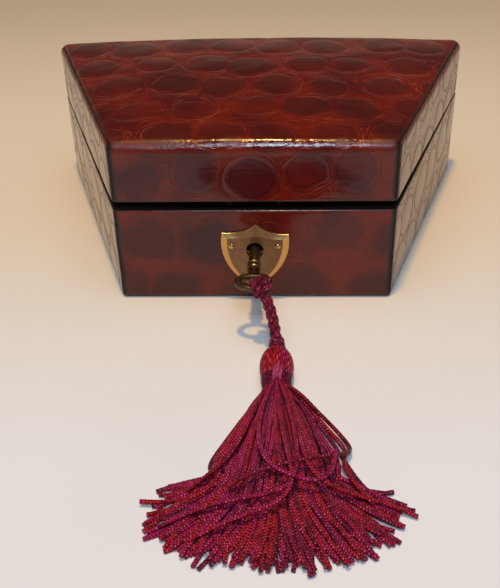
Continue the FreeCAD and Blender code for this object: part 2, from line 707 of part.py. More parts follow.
def skirt_section(y, width, height, roundness):
    # A flat foot, bulging sides and a domed top: roundness runs from 0, a flat fan, to 1, a round neck
    half = width / 2
    foot = half * mixed(SKIRT_FOOT, roundness)
    brow = half * mixed(SKIRT_BROW, roundness)
    brow_height = height * mixed(SKIRT_BROW_HEIGHT, roundness)
    bulge = brow_height * SKIRT_BULGE_SHARE

    def point(x, z):
        return Vector(TASSEL_X + x, y, z)

    right = Part.Arc(point(foot, 0), point(half, bulge), point(brow, brow_height)).toShape()
    top = Part.Arc(point(brow, brow_height), point(0, height), point(-brow, brow_height)).toShape()
    left = Part.Arc(point(-brow, brow_height), point(-half, bulge), point(-foot, 0)).toShape()
    sole = Part.LineSegment(point(-foot, 0), point(foot, 0)).toShape()
    return Part.Wire([right, top, left, sole])


def tassel_skirt():
    # Strands spread on the table, bell-shaped from the neck and cut to a rounded end
    neck_end = HEAD_LENGTH / 2 + BINDING_LENGTH
    start = head_axis(neck_end)
    neck = 2 * BINDING_NECK
    neck_height = start.z + BINDING_NECK
    sections = []
    for share, spread, roundness in SKIRT_SPREAD:
        width = neck + (SKIRT_WIDTH - neck) * spread
        fall = max(0, 1 - share) ** SKIRT_FALL_POWER
        height = SKIRT_TIP_HEIGHT + (neck_height - SKIRT_TIP_HEIGHT) * fall
        sections.append(skirt_section(start.y - share * SKIRT_LENGTH, width, height, roundness))
    skirt = above_table(Part.makeLoft(sections, True, False))
    skirt = skirt.cut(rod(REACH, start, head_axis(neck_end - REACH)))
    end_radius = (SKIRT_WIDTH ** 2 / 4 + SKIRT_END_SAGITTA ** 2) / (2 * SKIRT_END_SAGITTA)
    centre = Vector(TASSEL_X, start.y - SKIRT_LENGTH + end_radius, -REACH)
    return skirt.common(Part.makeCylinder(end_radius, 2 * REACH, centre))


def add_tassel(nodes):
    nodes["tassel_loop"] = tassel_loop()
    nodes["tassel_cord"] = cord_tube(cord_route(), CORD_DIAMETER)
    nodes["tassel_collar"] = tassel_collar()
    nodes["tassel_head"] = tassel_head()
    nodes["tassel_binding"] = tassel_binding()
    nodes["tassel_skirt"] = tassel_skirt()


# Base: boards, leather, rim facing, lining and pad

def rear_rim_skin(direction, low, high):
    # The strip of leather that covers the slope of the rear rim
    block = inset_prism(LEATHER, low, high).common(box(-REACH, REACH, 0, REACH, -REACH, REACH))
    return block.common(past_bevel(direction, LEATHER))


def add_base(nodes):
    core = round_uprights(inset_prism(LEATHER, BOTTOM_COVER, RIM_UNDER), CORNER_RADIUS - LEATHER)
    walls = four_walls(core, FRONT_INNER, REAR_INNER, SIDE_INNER)
    lock_room = lock_block(FIT).fuse(lock_strip(FIT))
    front_cuts = [lock_room, keyhole(FRONT_Y, LOCK_FRONT), plate_pin_holes()]
    front_cuts += [screw_seat(1, *place) for place in lock_screw_places()]
    for cut in front_cuts:
        walls["front"] = walls["front"].cut(cut)
    walls["rear"] = walls["rear"].cut(past_bevel(-1, LEATHER)).cut(hinge_recess(-1))
    for name, wall in walls.items():
        nodes["base_" + name + "_wall"] = wall
    nodes["base_board"] = plan_prism(FRONT_INNER, REAR_INNER, SIDE_INNER, BOTTOM_COVER, FLOOR_TOP)
    cover = inset_prism(LEATHER, 0, BOTTOM_COVER)
    nodes["base_bottom_cover"] = round_uprights(cover, CORNER_RADIUS - LEATHER)

    shell = round_uprights(inset_prism(0, LEATHER_LIFT, RIM_UNDER), CORNER_RADIUS)
    shell = round_level(shell, FOOT_RADIUS, LEATHER_LIFT)
    inside = round_uprights(inset_prism(LEATHER, -REACH, REACH), CORNER_RADIUS - LEATHER)
    skins = four_walls(shell.cut(inside), FRONT_Y + LEATHER, REAR_Y - LEATHER, LEATHER)
    skins["front"] = skins["front"].cut(keyhole(FRONT_Y, LOCK_FRONT)).cut(plate_pin_holes())
    rear_rim = rear_rim_skin(-1, BOTTOM_COVER, BASE_HEIGHT)
    skins["rear"] = skins["rear"].fuse(rear_rim).cut(hinge_recess(-1))
    for name, skin in skins.items():
        nodes["base_" + name + "_leather"] = skin.cut(past_bevel(-1, 0))

    rim = facing(-1, FRONT_INNER, REAR_INNER, SIDE_INNER)
    nodes["base_rim_facing"] = rim.cut(lock_strip(FIT)).cut(hinge_recess(-1))

    lining = plan_prism(FRONT_INNER, REAR_INNER, SIDE_INNER, FLOOR_TOP, BASE_HEIGHT + LIP_HEIGHT)
    boards = four_walls(lining, FRONT_INNER + LINING, REAR_INNER - LINING, SIDE_INNER + LINING)
    for name, board in boards.items():
        nodes["base_lining_" + name] = board
    room = LINING + PAD_GAP
    pad_top = FLOOR_TOP + BASE_PAD
    pad = plan_prism(FRONT_INNER + room, REAR_INNER - room, SIDE_INNER + room, FLOOR_TOP, pad_top)
    nodes["base_pad"] = round_level(pad, PAD_EDGE_RADIUS, pad_top)
    nodes["keyhole_plate"] = keyhole_plate()
    nodes["keyhole_plate_pins"] = plate_pins()


# Lid: the same, modelled level and then turned to its rest about the hinges

def add_lid(nodes):
    block = inset_prism(LEATHER, LID_RIM + RIM_FACING, LID_TOP - LEATHER)
    block = round_uprights(block, CORNER_RADIUS - LEATHER)
    block = round_level(block, LID_EDGE_RADIUS - LEATHER, LID_TOP - LEATHER)
    under = box(-REACH, REACH, -REACH, REACH, -REACH, LID_BOARD_UNDER)
    lid = {"lid_board": block.cut(under)}
    walls = four_walls(block.common(under), LID_FRONT_INNER, LID_REAR_INNER, LID_SIDE_INNER)
    walls["front"] = walls["front"].cut(link_plate_body(FIT))
    for place in link_screw_places():
        walls["front"] = walls["front"].cut(screw_seat(-1, *place))
    walls["rear"] = walls["rear"].cut(past_bevel(1, LEATHER)).cut(hinge_recess(1))
    for name, wall in walls.items():
        lid["lid_" + name + "_wall"] = wall

    shell = round_uprights(inset_prism(0, LID_RIM + RIM_FACING, LID_TOP), CORNER_RADIUS)
    shell = round_level(shell, LID_EDGE_RADIUS, LID_TOP).cut(block)
    between = plan_prism(FRONT_Y - LEATHER, REAR_Y + LEATHER, LEATHER, -REACH, REACH)
    wrap = shell.common(between).fuse(rear_rim_skin(1, LID_RIM, LID_BOARD_UNDER))
    lid["lid_wrap_leather"] = wrap.cut(past_bevel(1, 0)).cut(hinge_recess(1))
    sides = shell.cut(between).cut(past_bevel(1, 0))
    lid["lid_left_leather"] = sides.common(box(-REACH, 0, -REACH, REACH, -REACH, REACH))
    lid["lid_right_leather"] = sides.common(box(0, REACH, -REACH, REACH, -REACH, REACH))

    rim = facing(1, LID_FRONT_INNER, LID_REAR_INNER, LID_SIDE_INNER)
    lid["lid_rim_facing"] = rim.cut(link_plate_body(FIT)).cut(hinge_recess(1))

    lining = plan_prism(LID_FRONT_INNER, LID_REAR_INNER, LID_SIDE_INNER, LID_RIM, LID_BOARD_UNDER)
    boards = four_walls(lining, LID_FRONT_INNER + LID_LINING, LID_REAR_INNER - LID_LINING,
                        LID_SIDE_INNER + LID_LINING)
    for name, board in boards.items():
        lid["lid_lining_" + name] = board
    room = LID_LINING + PAD_GAP
    pad_under = LID_BOARD_UNDER - LID_PAD
    pad = plan_prism(LID_FRONT_INNER + room, LID_REAR_INNER - room, LID_SIDE_INNER + room,
                     pad_under, LID_BOARD_UNDER)
    lid["lid_pad"] = round_level(pad, PAD_EDGE_RADIUS, pad_under)
    lid["link_plate"] = link_plate()
    lid["link_screws"] = Part.makeCompound([screw(-1, *place) for place in link_screw_places()])
    for name in ("hinge_lid_leaf_left", "hinge_lid_leaf_right", "hinge_lid_screws"):
        lid[name] = nodes.pop(name)
    for name, piece in lid.items():
        piece.rotate(HINGE_POINT, Vector(-1, 0, 0), LID_AJAR)
        nodes[name] = piece


def main():
    nodes = {}
    add_hinges(nodes)
    add_base(nodes)
    add_lock(nodes)
    nodes["key"] = key()
    add_tassel(nodes)
    add_lid(nodes)
    os.makedirs("parts", exist_ok=True)
    for name, shape in nodes.items():
        shape = tidy(shape)
        print(name, "solids", len(shape.Solids), "valid", shape.isValid(), "volume", round(shape.Volume, 2))
        shape.exportStep("parts/" + name + ".step")


main()
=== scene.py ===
# %% [markdown]
# A crocodile leather jewellery case, with its key in the lock and a silk tassel on the key.
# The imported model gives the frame: where every node sits and what turns on what. This lesson dresses it,
# piece by piece, in metres and in the same frame, so nothing has to be fitted by eye.

# %% Load the frame
import json
import math
import random

import bmesh
import bpy
import numpy as np
from mathutils import Matrix, Vector


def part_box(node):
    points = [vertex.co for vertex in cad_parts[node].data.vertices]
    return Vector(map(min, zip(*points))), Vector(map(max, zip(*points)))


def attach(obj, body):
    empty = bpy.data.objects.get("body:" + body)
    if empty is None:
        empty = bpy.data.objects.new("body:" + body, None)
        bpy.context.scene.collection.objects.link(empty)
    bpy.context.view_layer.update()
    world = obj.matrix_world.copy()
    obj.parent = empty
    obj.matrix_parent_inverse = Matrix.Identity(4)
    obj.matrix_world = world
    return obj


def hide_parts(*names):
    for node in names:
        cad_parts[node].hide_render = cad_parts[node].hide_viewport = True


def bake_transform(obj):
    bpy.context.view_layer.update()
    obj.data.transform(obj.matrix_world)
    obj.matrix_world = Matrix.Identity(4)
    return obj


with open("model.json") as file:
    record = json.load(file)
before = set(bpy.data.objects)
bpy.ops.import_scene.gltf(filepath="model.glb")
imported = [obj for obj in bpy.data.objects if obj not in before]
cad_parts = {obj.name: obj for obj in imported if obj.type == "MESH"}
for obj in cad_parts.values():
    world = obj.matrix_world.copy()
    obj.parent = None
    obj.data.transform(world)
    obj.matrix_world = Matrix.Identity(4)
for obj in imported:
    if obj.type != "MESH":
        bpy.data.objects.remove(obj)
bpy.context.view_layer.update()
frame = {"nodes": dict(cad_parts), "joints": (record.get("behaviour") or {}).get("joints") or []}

MM = 0.001
scene = bpy.context.scene
scene.view_settings.view_transform = "Standard"

# %% [markdown]
# The photograph was taken from in front and above with a moderate lens. A camera can be turned by Euler angles,
# but building its three axes from yaw, pitch and roll keeps each of those angles readable.

# %% Camera
CAMERA_PLACE = Vector((11.0, -338.5, 211.4)) * MM
CAMERA_YAW = -0.046
CAMERA_PITCH = 0.629
CAMERA_ROLL = -0.028
CAMERA_LENS = 58.18


def aimed_camera():
    """A camera whose axes come from its yaw, its downward pitch and its roll."""
    forward = Vector((math.sin(CAMERA_YAW) * math.cos(CAMERA_PITCH),
                      math.cos(CAMERA_YAW) * math.cos(CAMERA_PITCH), -math.sin(CAMERA_PITCH)))
    level = Vector((math.cos(CAMERA_YAW), -math.sin(CAMERA_YAW), 0))
    upright = level.cross(forward)
    right = level * math.cos(CAMERA_ROLL) + upright * math.sin(CAMERA_ROLL)
    up = upright * math.cos(CAMERA_ROLL) - level * math.sin(CAMERA_ROLL)
    camera = bpy.data.objects.new("camera", bpy.data.cameras.new("camera"))
    camera.matrix_world = Matrix.Translation(CAMERA_PLACE) @ Matrix((right, up, -forward)).transposed().to_4x4()
    camera.data.sensor_fit = "AUTO"
    camera.data.sensor_width = 36
    camera.data.lens = CAMERA_LENS
    scene.collection.objects.link(camera)
    return camera


scene.camera = aimed_camera()
print("camera at", [round(value, 4) for value in scene.camera.matrix_world.translation])

# %% [markdown]
# Finishes and node trees are written as sums. A small class wraps a socket so that Python's own operators add
# Math nodes, and one method adds every other node from its type, its settings and what goes into its sockets.
# The same class serves shader trees and Geometry Nodes trees, so one leather pattern can drive both.


# %% A socket that takes part in sums
class Wire:
    """An output socket. Sums on it add Math nodes to its tree."""

    def __init__(self, tree, socket):
        self.tree = tree
        self.socket = socket

    def maths(self, operation, *others):
        return maths(self.tree, operation, self, *others)

    def __add__(self, other):
        return self.maths("ADD", other)

    def __sub__(self, other):
        return self.maths("SUBTRACT", other)

    def __rsub__(self, other):
        return maths(self.tree, "SUBTRACT", other, self)

    def __mul__(self, other):
        return self.maths("MULTIPLY", other)

    def __truediv__(self, other):
        return self.maths("DIVIDE", other)

    def __abs__(self):
        return self.maths("ABSOLUTE")

    __radd__ = __add__
    __rmul__ = __mul__

    def step(self, start, end):
        """A smooth step that is 0 at start and 1 at end."""
        sockets = {"Value": self, "From Min": start, "From Max": end}
        return add_node(self.tree, "ShaderNodeMapRange", sockets, interpolation_type="SMOOTHSTEP")

    def band(self, centre, width):
        """1 on a value and 0 from width away on either side of it."""
        return abs(self - centre).step(width, 0)


def maths(tree, operation, *values):
    return add_node(tree, "ShaderNodeMath", dict(enumerate(values)), operation=operation)


def fill_socket(tree, socket, value):
    """Link a wire to a socket, or set the socket's own value."""
    if isinstance(value, Wire):
        tree.links.new(value.socket, socket)
    elif socket.type == "RGBA" and len(value) == 3:
        socket.default_value = (*value, 1)
    else:
        socket.default_value = value


def add_node(tree, kind, sockets=None, output=0, **settings):
    """Add one node: its settings first, then its sockets. The result is the wire of one output."""
    node = tree.nodes.new(kind)
    for name, value in settings.items():
        setattr(node, name, value)
    for key, value in (sockets or {}).items():
        fill_socket(tree, node.inputs[key], value)
    return Wire(tree, node.outputs[output]) if len(node.outputs) else node


def mix(tree, share, first, second, mode="MIX"):
    """Mix two colours by a share."""
    return add_node(tree, "ShaderNodeMix", {0: share, 6: first, 7: second}, 2, data_type="RGBA", blend_type=mode)


def join(tree, x, y, z):
    return add_node(tree, "ShaderNodeCombineXYZ", {0: x, 1: y, 2: z})


def split(vector):
    """The three parts of a vector, each as a wire."""
    first = add_node(vector.tree, "ShaderNodeSeparateXYZ", {0: vector})
    node = first.socket.node
    return [Wire(vector.tree, socket) for socket in node.outputs]


def noise(tree, vector, scale, detail=2.0, output="Fac"):
    sockets = {"Vector": vector, "Scale": scale, "Detail": detail}
    return add_node(tree, "ShaderNodeTexNoise", sockets, output)


def srgb(red, green, blue):
    """A colour as read from a screen, 0 to 255, turned into the renderer's linear values."""
    shares = [value / 255 for value in (red, green, blue)]
    return tuple(s / 12.92 if s <= 0.04045 else ((s + 0.055) / 1.055) ** 2.4 for s in shares)


def new_finish(name, **constants):
    """A material with one Principled shader, its constants set on the shader's own sockets."""
    material = bpy.data.materials.new(name)
    material.use_nodes = True
    shader = material.node_tree.nodes["Principled BSDF"]
    for socket, value in constants.items():
        fill_socket(material.node_tree, shader.inputs[socket.replace("_", " ")], value)
    return material, material.node_tree, shader


def set_shader(tree, shader, **wires):
    for socket, value in wires.items():
        fill_socket(tree, shader.inputs[socket.replace("_", " ")], value)


def bump(tree, height, distance, strength=1.0):
    """A surface normal from a height that is given as a share of a distance in metres."""
    return add_node(tree, "ShaderNodeBump", {"Height": height, "Distance": distance, "Strength": strength})


def object_place(tree):
    return add_node(tree, "ShaderNodeTexCoord", output="Object")


def attribute(tree, name, output="Vector"):
    return add_node(tree, "ShaderNodeAttribute", output=output, attribute_name=name)


print("sum tools ready")

# %% [markdown]
# The sizes of the case are the part's own, in metres. The walls splay, so the width grows from front to back.
# The lid rests a hair open on its hinges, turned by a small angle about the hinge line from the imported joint.

# %% Sizes of the case
FRONT_WIDTH = 100 * MM
REAR_WIDTH = 171.5 * MM
DEPTH = 101 * MM
FRONT_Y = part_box("base_front_leather")[0].y
REAR_Y = FRONT_Y + DEPTH
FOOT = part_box("base_front_leather")[0].z
BASE_RIM = 37.95 * MM
LID_RIM = 38.55 * MM
LID_TOP = 61.1 * MM
SKIN = 1.2 * MM
BASE_ROLL = 2.4 * MM
LID_ROLL = 3.3 * MM
LID_AJAR = math.radians(1.7)
HINGE = Vector(next(joint["pos_m"] for joint in frame["joints"] if joint["name"] == "lid_hinge"))
BEVEL_SLOPE = 1.273
SPLAY = (REAR_WIDTH - FRONT_WIDTH) / 2 / DEPTH
SPLAY_COS = 1 / math.hypot(1, SPLAY)
print("hinge line at", [round(value, 5) for value in HINGE])

# %% [markdown]
# Light: in the photograph one small warm lamp hangs almost straight overhead, and cool daylight fills the shadows.
# The floor is a pale table, painted warmer towards the back for the warm lamp's light and painted darker far away for
# the light's falloff. The world is pale near the horizon, where the glossy side walls mirror it, and dimmer higher up,
# where the lid's top would otherwise be veiled by its reflection.

# %% Floor, lamps and world
LAMP_PLACE = Vector((-0.02, -0.12, 1.30))
LAMP_SIZE = 0.08
LAMP_POWER = 8.7
LAMP_COLOUR = (1.014, 0.654, 0.218)
FILL_PLACE = Vector((0.02, -0.95, 1.15))
FILL_SIZE = 0.32
FILL_POWER = 7.8
FILL_COLOUR = (0.62, 0.79, 1.0)
SKY_PLACE = Vector((0.0, -0.30, 1.45))
SKY_SIZE = 1.4
SKY_POWER = 11.76
SKY_COLOUR = (0.52, 0.78, 1.10)


def area_lamp(name, place, aim, size, power, colour, mirrored=True):
    lamp = bpy.data.lights.new(name, "AREA")
    lamp.shape = "DISK"
    lamp.size = size
    lamp.energy = power
    lamp.color = colour
    holder = bpy.data.objects.new(name, lamp)
    holder.location = place
    holder.rotation_euler = (aim - place).to_track_quat("-Z", "Y").to_euler()
    holder.visible_glossy = mirrored
    scene.collection.objects.link(holder)


def pale_world():
    world = bpy.data.worlds.new("room")
    scene.world = world
    world.use_nodes = True
    tree = world.node_tree
    direction = add_node(tree, "ShaderNodeTexCoord", output="Generated")
    height = split(direction)[2]
    low = height.step(0.36, 0.18)
    colour = mix(tree, low, (0.030, 0.032, 0.038), (0.50, 0.425, 0.34))
    background = tree.nodes["Background"]
    fill_socket(tree, background.inputs["Color"], colour)
    background.inputs["Strength"].default_value = 0.8


def table_top():
    """A wide floor with a faint unevenness of tone. Its tone is painted warmer towards the back for the warm lamp's
    light, and painted darker far away for the light's falloff.
    """
    bpy.ops.mesh.primitive_grid_add(size=4, x_subdivisions=4, y_subdivisions=4)
    table = bpy.context.object
    table.name = "table"
    material, tree, shader = new_finish("table_finish", Roughness=0.75, Specular_IOR_Level=0.2)
    where = object_place(tree)
    tone = noise(tree, where, 9.0)
    near = mix(tree, tone, srgb(223, 216, 212), srgb(231, 225, 222))
    # Painted light: the tone turns warmer towards the back, standing for the warm lamp's light there.
    away = split(where)[1].step(-0.15, 0.03)
    colour = mix(tree, away, near, srgb(224, 200, 171))
    # Painted light: the table turns darker far back, standing for the falloff of the light.
    painted_far_falloff = split(where)[1].step(0.08, 0.32)
    set_shader(tree, shader, Base_Color=mix(tree, painted_far_falloff, colour, srgb(196, 172, 144)))
    table.data.materials.append(material)


area_lamp("lamp", LAMP_PLACE, Vector((0, -0.02, 0)), LAMP_SIZE, LAMP_POWER, LAMP_COLOUR)
area_lamp("daylight", FILL_PLACE, Vector((0, 0, 0)), FILL_SIZE, FILL_POWER, FILL_COLOUR)
area_lamp("sky", SKY_PLACE, Vector((0, -0.05, 0)), SKY_SIZE, SKY_POWER, SKY_COLOUR, False)
pale_world()
table_top()
print("table, three lamps and the world are set")

# %% [markdown]
# Crocodile leather: rows of rounded scales, each row shifted by half a scale. Every scale is a low dark dome, and
# thin paler creases ring it and cross in the gaps. A cell texture alone gives straight-sided cells, so the rows are
# worked out here: two sets of cells, each with its own shifted centres, give true rings that may cross.
# The pattern is laid out in millimetres of hide, in an attribute that follows the skin round its edges.

# %% Pattern of the scales
SCALE_PITCH = 19.8
SCALE_ROW = 20.0
SCALE_RADIUS = 8.4
SCALE_JITTER = 6.0
HIDE_WARP = 5.5


def scale_rows(tree, u, v, shift_u, shift_v, salt):
    """One set of rows: how far out on its scale a point lies (1 on the rim), and the scale's own chance."""
    across = u / SCALE_PITCH + shift_u
    along = v / (2 * SCALE_ROW) + shift_v
    column = across.maths("ROUND")
    line = along.maths("ROUND")
    chance = add_node(tree, "ShaderNodeTexWhiteNoise", {"Vector": join(tree, column, line, salt)}, "Color")
    right, up, size = split(chance)
    du = (across - column) * SCALE_PITCH - (right - 0.5) * SCALE_JITTER
    dv = (along - line) * (2 * SCALE_ROW) - (up - 0.5) * SCALE_JITTER
    reach = (du * du * 0.92 + dv * dv * 1.1).maths("SQRT") / (SCALE_RADIUS * (0.88 + 0.24 * size))
    whole = abs(across - column).step(0.5, 0.42)
    return reach, whole, size


def scale_field(tree, hide):
    """What the hide is like at a point: reach on the nearest scale, its chance, crease lines and border distance."""
    u, v, border = split(hide)
    flat = join(tree, u, v, 0.0)
    push_u, push_v, _ = split(noise(tree, flat, 0.075, 1.5, "Color"))
    u = u + (push_u - 0.5) * HIDE_WARP
    v = v + (push_v - 0.5) * HIDE_WARP
    first, first_whole, first_chance = scale_rows(tree, u, v, 0.566, 0.25, 3.0)
    second, second_whole, second_chance = scale_rows(tree, u, v, 0.066, 0.75, 8.0)
    nearest = first.maths("MINIMUM", second)
    is_first = first.maths("LESS_THAN", second)
    chance = is_first * first_chance + (1 - is_first) * second_chance
    broken = noise(tree, flat, 0.19, 2.0).step(0.36, 0.56)
    partial = noise(tree, flat, 0.11, 1.0).step(0.40, 0.62)
    wander = (noise(tree, flat, 0.13, 1.0) - 0.5) * 0.34
    lines = None
    for reach, whole in ((first, first_whole), (second, second_whole)):
        reach = reach + wander
        rings = reach.band(0.98, 0.032) * (0.1 + 0.6 * partial) + reach.band(1.15, 0.029) * (1 - partial * 0.8)
        rings = rings + reach.band(1.34, 0.028) * broken * (0.3 + 0.5 * partial)
        rings = rings * whole
        lines = rings if lines is None else lines.maths("MAXIMUM", rings)
    return {"flat": flat, "reach": nearest, "chance": chance, "lines": lines, "border": border, "broken": broken}


print("scales about", SCALE_PITCH, "mm apart")

# %% [markdown]
# The relief is real: Geometry Nodes lift each point of the skin along its outward direction by the height of its
# scale. The finish uses the same pattern again for colour, and only the finest creases are left to bump.

# %% Relief of the hide
DOME_HEIGHT = 0.05 * MM
GROOVE_DEPTH = 0.05 * MM
WAVE_HEIGHT = 0.34 * MM


def relief_tree(material):
    """Geometry Nodes that lift a skin into scales: inputs for the heights, and the skin's own attributes."""
    tree = bpy.data.node_groups.new("hide_relief", "GeometryNodeTree")
    tree.interface.new_socket("Skin", in_out="INPUT", socket_type="NodeSocketGeometry")
    for name in ("Dome", "Groove", "Wave"):
        tree.interface.new_socket(name, in_out="INPUT", socket_type="NodeSocketFloat")
    tree.interface.new_socket("Skin", in_out="OUTPUT", socket_type="NodeSocketGeometry")
    given = tree.nodes.new("NodeGroupInput")
    skin, dome, groove, wave = [Wire(tree, given.outputs[index]) for index in range(4)]

    def stored(name, kind, output):
        return add_node(tree, "GeometryNodeInputNamedAttribute", {"Name": name}, output, data_type=kind)

    hide = stored("hide", "FLOAT_VECTOR", 0)
    outward = stored("outward", "FLOAT_VECTOR", 0)
    bold = stored("grain", "FLOAT", 0)
    field = scale_field(tree, hide)
    reach = field["reach"]
    height = reach.step(1.06, 0.25) * dome - (reach.band(1.04, 0.12) + reach.band(1.2, 0.09) * 0.5) * groove
    height = height * bold * field["border"].step(0.5, 3.5)
    height = height + (noise(tree, field["flat"], 0.045, 1.0) - 0.5) * wave * field["border"].step(-2.0, 5.0)
    height = height + (noise(tree, field["flat"], 0.22, 2.0) - 0.5) * groove * 0.9
    height = height - field["border"].band(1.9, 0.7) * groove * 0.8
    offset = add_node(tree, "ShaderNodeVectorMath", {0: outward, "Scale": height}, operation="SCALE")
    moved = add_node(tree, "GeometryNodeSetPosition", {"Geometry": skin, "Offset": offset})
    smooth = add_node(tree, "GeometryNodeSetShadeSmooth", {"Geometry": moved})
    real = add_node(tree, "GeometryNodeRealizeInstances", {"Geometry": smooth})
    dressed = add_node(tree, "GeometryNodeSetMaterial", {"Geometry": real, "Material": material})
    ends = tree.nodes.new("NodeGroupOutput")
    fill_socket(tree, ends.inputs[0], dressed)
    return tree


def socket_key(tree, name):
    """The identifier of a tree's named input, by which a modifier's value is set."""
    return next(item.identifier for item in tree.interface.items_tree
                if item.item_type == "SOCKET" and item.in_out == "INPUT" and item.name == name)


def grown(piece, tree, **values):
    """Run a Geometry Nodes tree on an object and keep its result as the object's plain mesh."""
    modifier = piece.modifiers.new(tree.name, "NODES")
    modifier.node_group = tree
    for name, value in values.items():
        modifier[socket_key(tree, name)] = value
    graph = bpy.context.evaluated_depsgraph_get()
    mesh = bpy.data.meshes.new_from_object(piece.evaluated_get(graph), preserve_all_data_layers=True, depsgraph=graph)
    piece.modifiers.clear()
    return mesh


print("relief of", DOME_HEIGHT / MM, "mm domes")

# %% [markdown]
# The finish: dark chestnut domes, oxblood between them and paler creases, under a deep polish. On the upright walls the
# domes are painted violet, a painted reflection of the bluish table. The turned borders are rubbed almost black, as
# old polished leather is along its edges.

# %% Leather finish
HIDE_WEB = srgb(112, 26, 10)
HIDE_WEB_DEEP = srgb(80, 17, 13)
HIDE_DOME = srgb(64, 23, 14)
HIDE_DOME_PAINTED_REFLECTION = srgb(38, 9, 22)
HIDE_DARK = srgb(34, 9, 10)
HIDE_CREASE = srgb(188, 84, 44)
HIDE_BORDER = srgb(25, 17, 11)


def leather_finish():
    material, tree, shader = new_finish("crocodile_leather_finish", Specular_IOR_Level=0.37, Coat_Roughness=0.12,
                                        Coat_IOR=1.3)
    hide = attribute(tree, "hide")
    bold = attribute(tree, "grain", "Fac")
    plain = bold.maths("MINIMUM", 1.0)
    ringed = bold.step(1.0, 1.3)
    streaked = bold.step(1.4, 2.0)
    field = scale_field(tree, hide)
    reach = field["reach"]
    u, v, _ = split(field["flat"])
    patches = noise(tree, field["flat"], 0.045, 3.0)
    web = mix(tree, patches.step(0.38, 0.66), HIDE_WEB, HIDE_WEB_DEEP)
    mottle = noise(tree, field["flat"], 0.4, 4.0)
    uneven = (noise(tree, field["flat"], 0.16, 3.0) - 0.5) * 0.6
    centre = (reach + uneven).step(1.14, 0.68) * (0.35 + 0.65 * field["chance"])
    # Painted reflection: on the upright walls the domes turn violet, standing for the bluish table mirrored in the
    # polish.
    upright = ((1 - plain) * 2).maths("MAXIMUM", ringed * (1 - streaked))
    colour = mix(tree, centre * 0.72, web, mix(tree, upright, HIDE_DOME, HIDE_DOME_PAINTED_REFLECTION))
    colour = mix(tree, mottle.step(0.46, 0.74) * 0.35, colour, HIDE_WEB_DEEP)
    furrows = noise(tree, join(tree, u * 0.10, v * 0.75, 0.0), 1.0, 3.0)
    colour = mix(tree, furrows.step(0.50, 0.72) * 0.45 * plain, colour, HIDE_DARK)
    rim_shade = reach.band(1.06, 0.06) * (0.22 + 0.5 * ringed) * plain * (1 - field["broken"] * 0.6)
    colour = mix(tree, rim_shade, colour, HIDE_DARK)
    inner = (reach + uneven * 0.3).band(0.78, 0.05) * ringed * (1 - streaked) * 0.55
    colour = mix(tree, inner, colour, HIDE_DARK)
    wrinkle = add_node(tree, "ShaderNodeTexVoronoi", {"Vector": field["flat"], "Scale": 0.17},
                       feature="DISTANCE_TO_EDGE")
    web_lines = wrinkle.step(0.036, 0.006) * reach.step(1.02, 1.2) * field["broken"]
    lines = (field["lines"] + web_lines * 0.3).maths("MINIMUM", 1.0)
    strength = noise(tree, field["flat"], 0.06, 2.0).step(0.44, 0.70)
    shown = lines * field["border"].step(1.5, 4.0) * plain * plain * (0.14 + 0.6 * strength) * (1 - 0.5 * ringed)
    colour = mix(tree, shown, colour, HIDE_CREASE)
    outline = reach.band(1.04, 0.10).maths("MAXIMUM", reach.band(1.36, 0.07) * field["broken"])
    streaks = outline.maths("MAXIMUM", lines * 0.6) * streaked
    colour = mix(tree, streaks * 0.6, colour, HIDE_DARK)
    edge_wave = (noise(tree, field["flat"], 0.12, 2.0) - 0.5) * 1.8
    rubbed = (field["border"] + edge_wave).step(2.1, 0.8)
    colour = mix(tree, rubbed, colour, HIDE_BORDER)
    pores = noise(tree, field["flat"], 1.5, 3.0)
    height = pores * 0.08 - lines * 0.32 + noise(tree, field["flat"], 0.45, 3.0) * 0.3 + furrows * 0.3
    height = height - streaks * 1.6
    fold = attribute(tree, "fold", "Fac")
    crumple = noise(tree, join(tree, u * 0.7, v * 0.55, 4.0), 1.0, 3.0)
    height = height + (crumple - 0.5) * fold * 2.0
    ends = u.step(-14.0, -38.0).maths("MAXIMUM", u.step(34.0, 46.0))
    handled = ends.maths("MAXIMUM", noise(tree, join(tree, u * 0.09, 7.0, 0.0), 1.0, 2.0).step(0.50, 0.66) * 0.7)
    rough = 0.10 + 0.08 * pores + 0.08 * lines + 0.40 * rubbed + 0.2 * streaks + 0.40 * handled * fold
    coat = 0.30 - 0.15 * lines - 0.15 * rubbed - 0.28 * handled * fold
    set_shader(tree, shader, Base_Color=colour, Roughness=rough, Coat_Weight=coat.maths("MAXIMUM", 0.0),
               Normal=bump(tree, height, 0.11 * MM, 0.75))
    return material


leather = leather_finish()
hide_relief = relief_tree(leather)
print("leather finish has", len(leather.node_tree.nodes), "nodes")

# %% [markdown]
# Skins: the real case is covered in a few pieces of hide, glued over boards and turned in at the borders: one over
# the lid's front, top and back, one on each side of the lid and one on each wall of the base. Each is built here as a
# fine grid on a sharp box, then every point is moved to the rolled surface: the nearest point of a box that is drawn in
# by the roll's radius, plus that radius outwards. Neighbouring skins then meet halfway round each corner.

# %% From a sharp box to rolled edges
TURN_IN = 0.6 * MM
RIM_WEAR = 1.5 * MM
GRID_PITCH = 0.55 * MM
TOP_PITCH = 0.68 * MM
BORDER_STATIONS = np.array((0, 0.10, 0.24, 0.42, 0.65, 1.0)) * MM


def half_width(y, inset=0.0):
    return FRONT_WIDTH / 2 + (y - FRONT_Y) * SPLAY - inset / SPLAY_COS


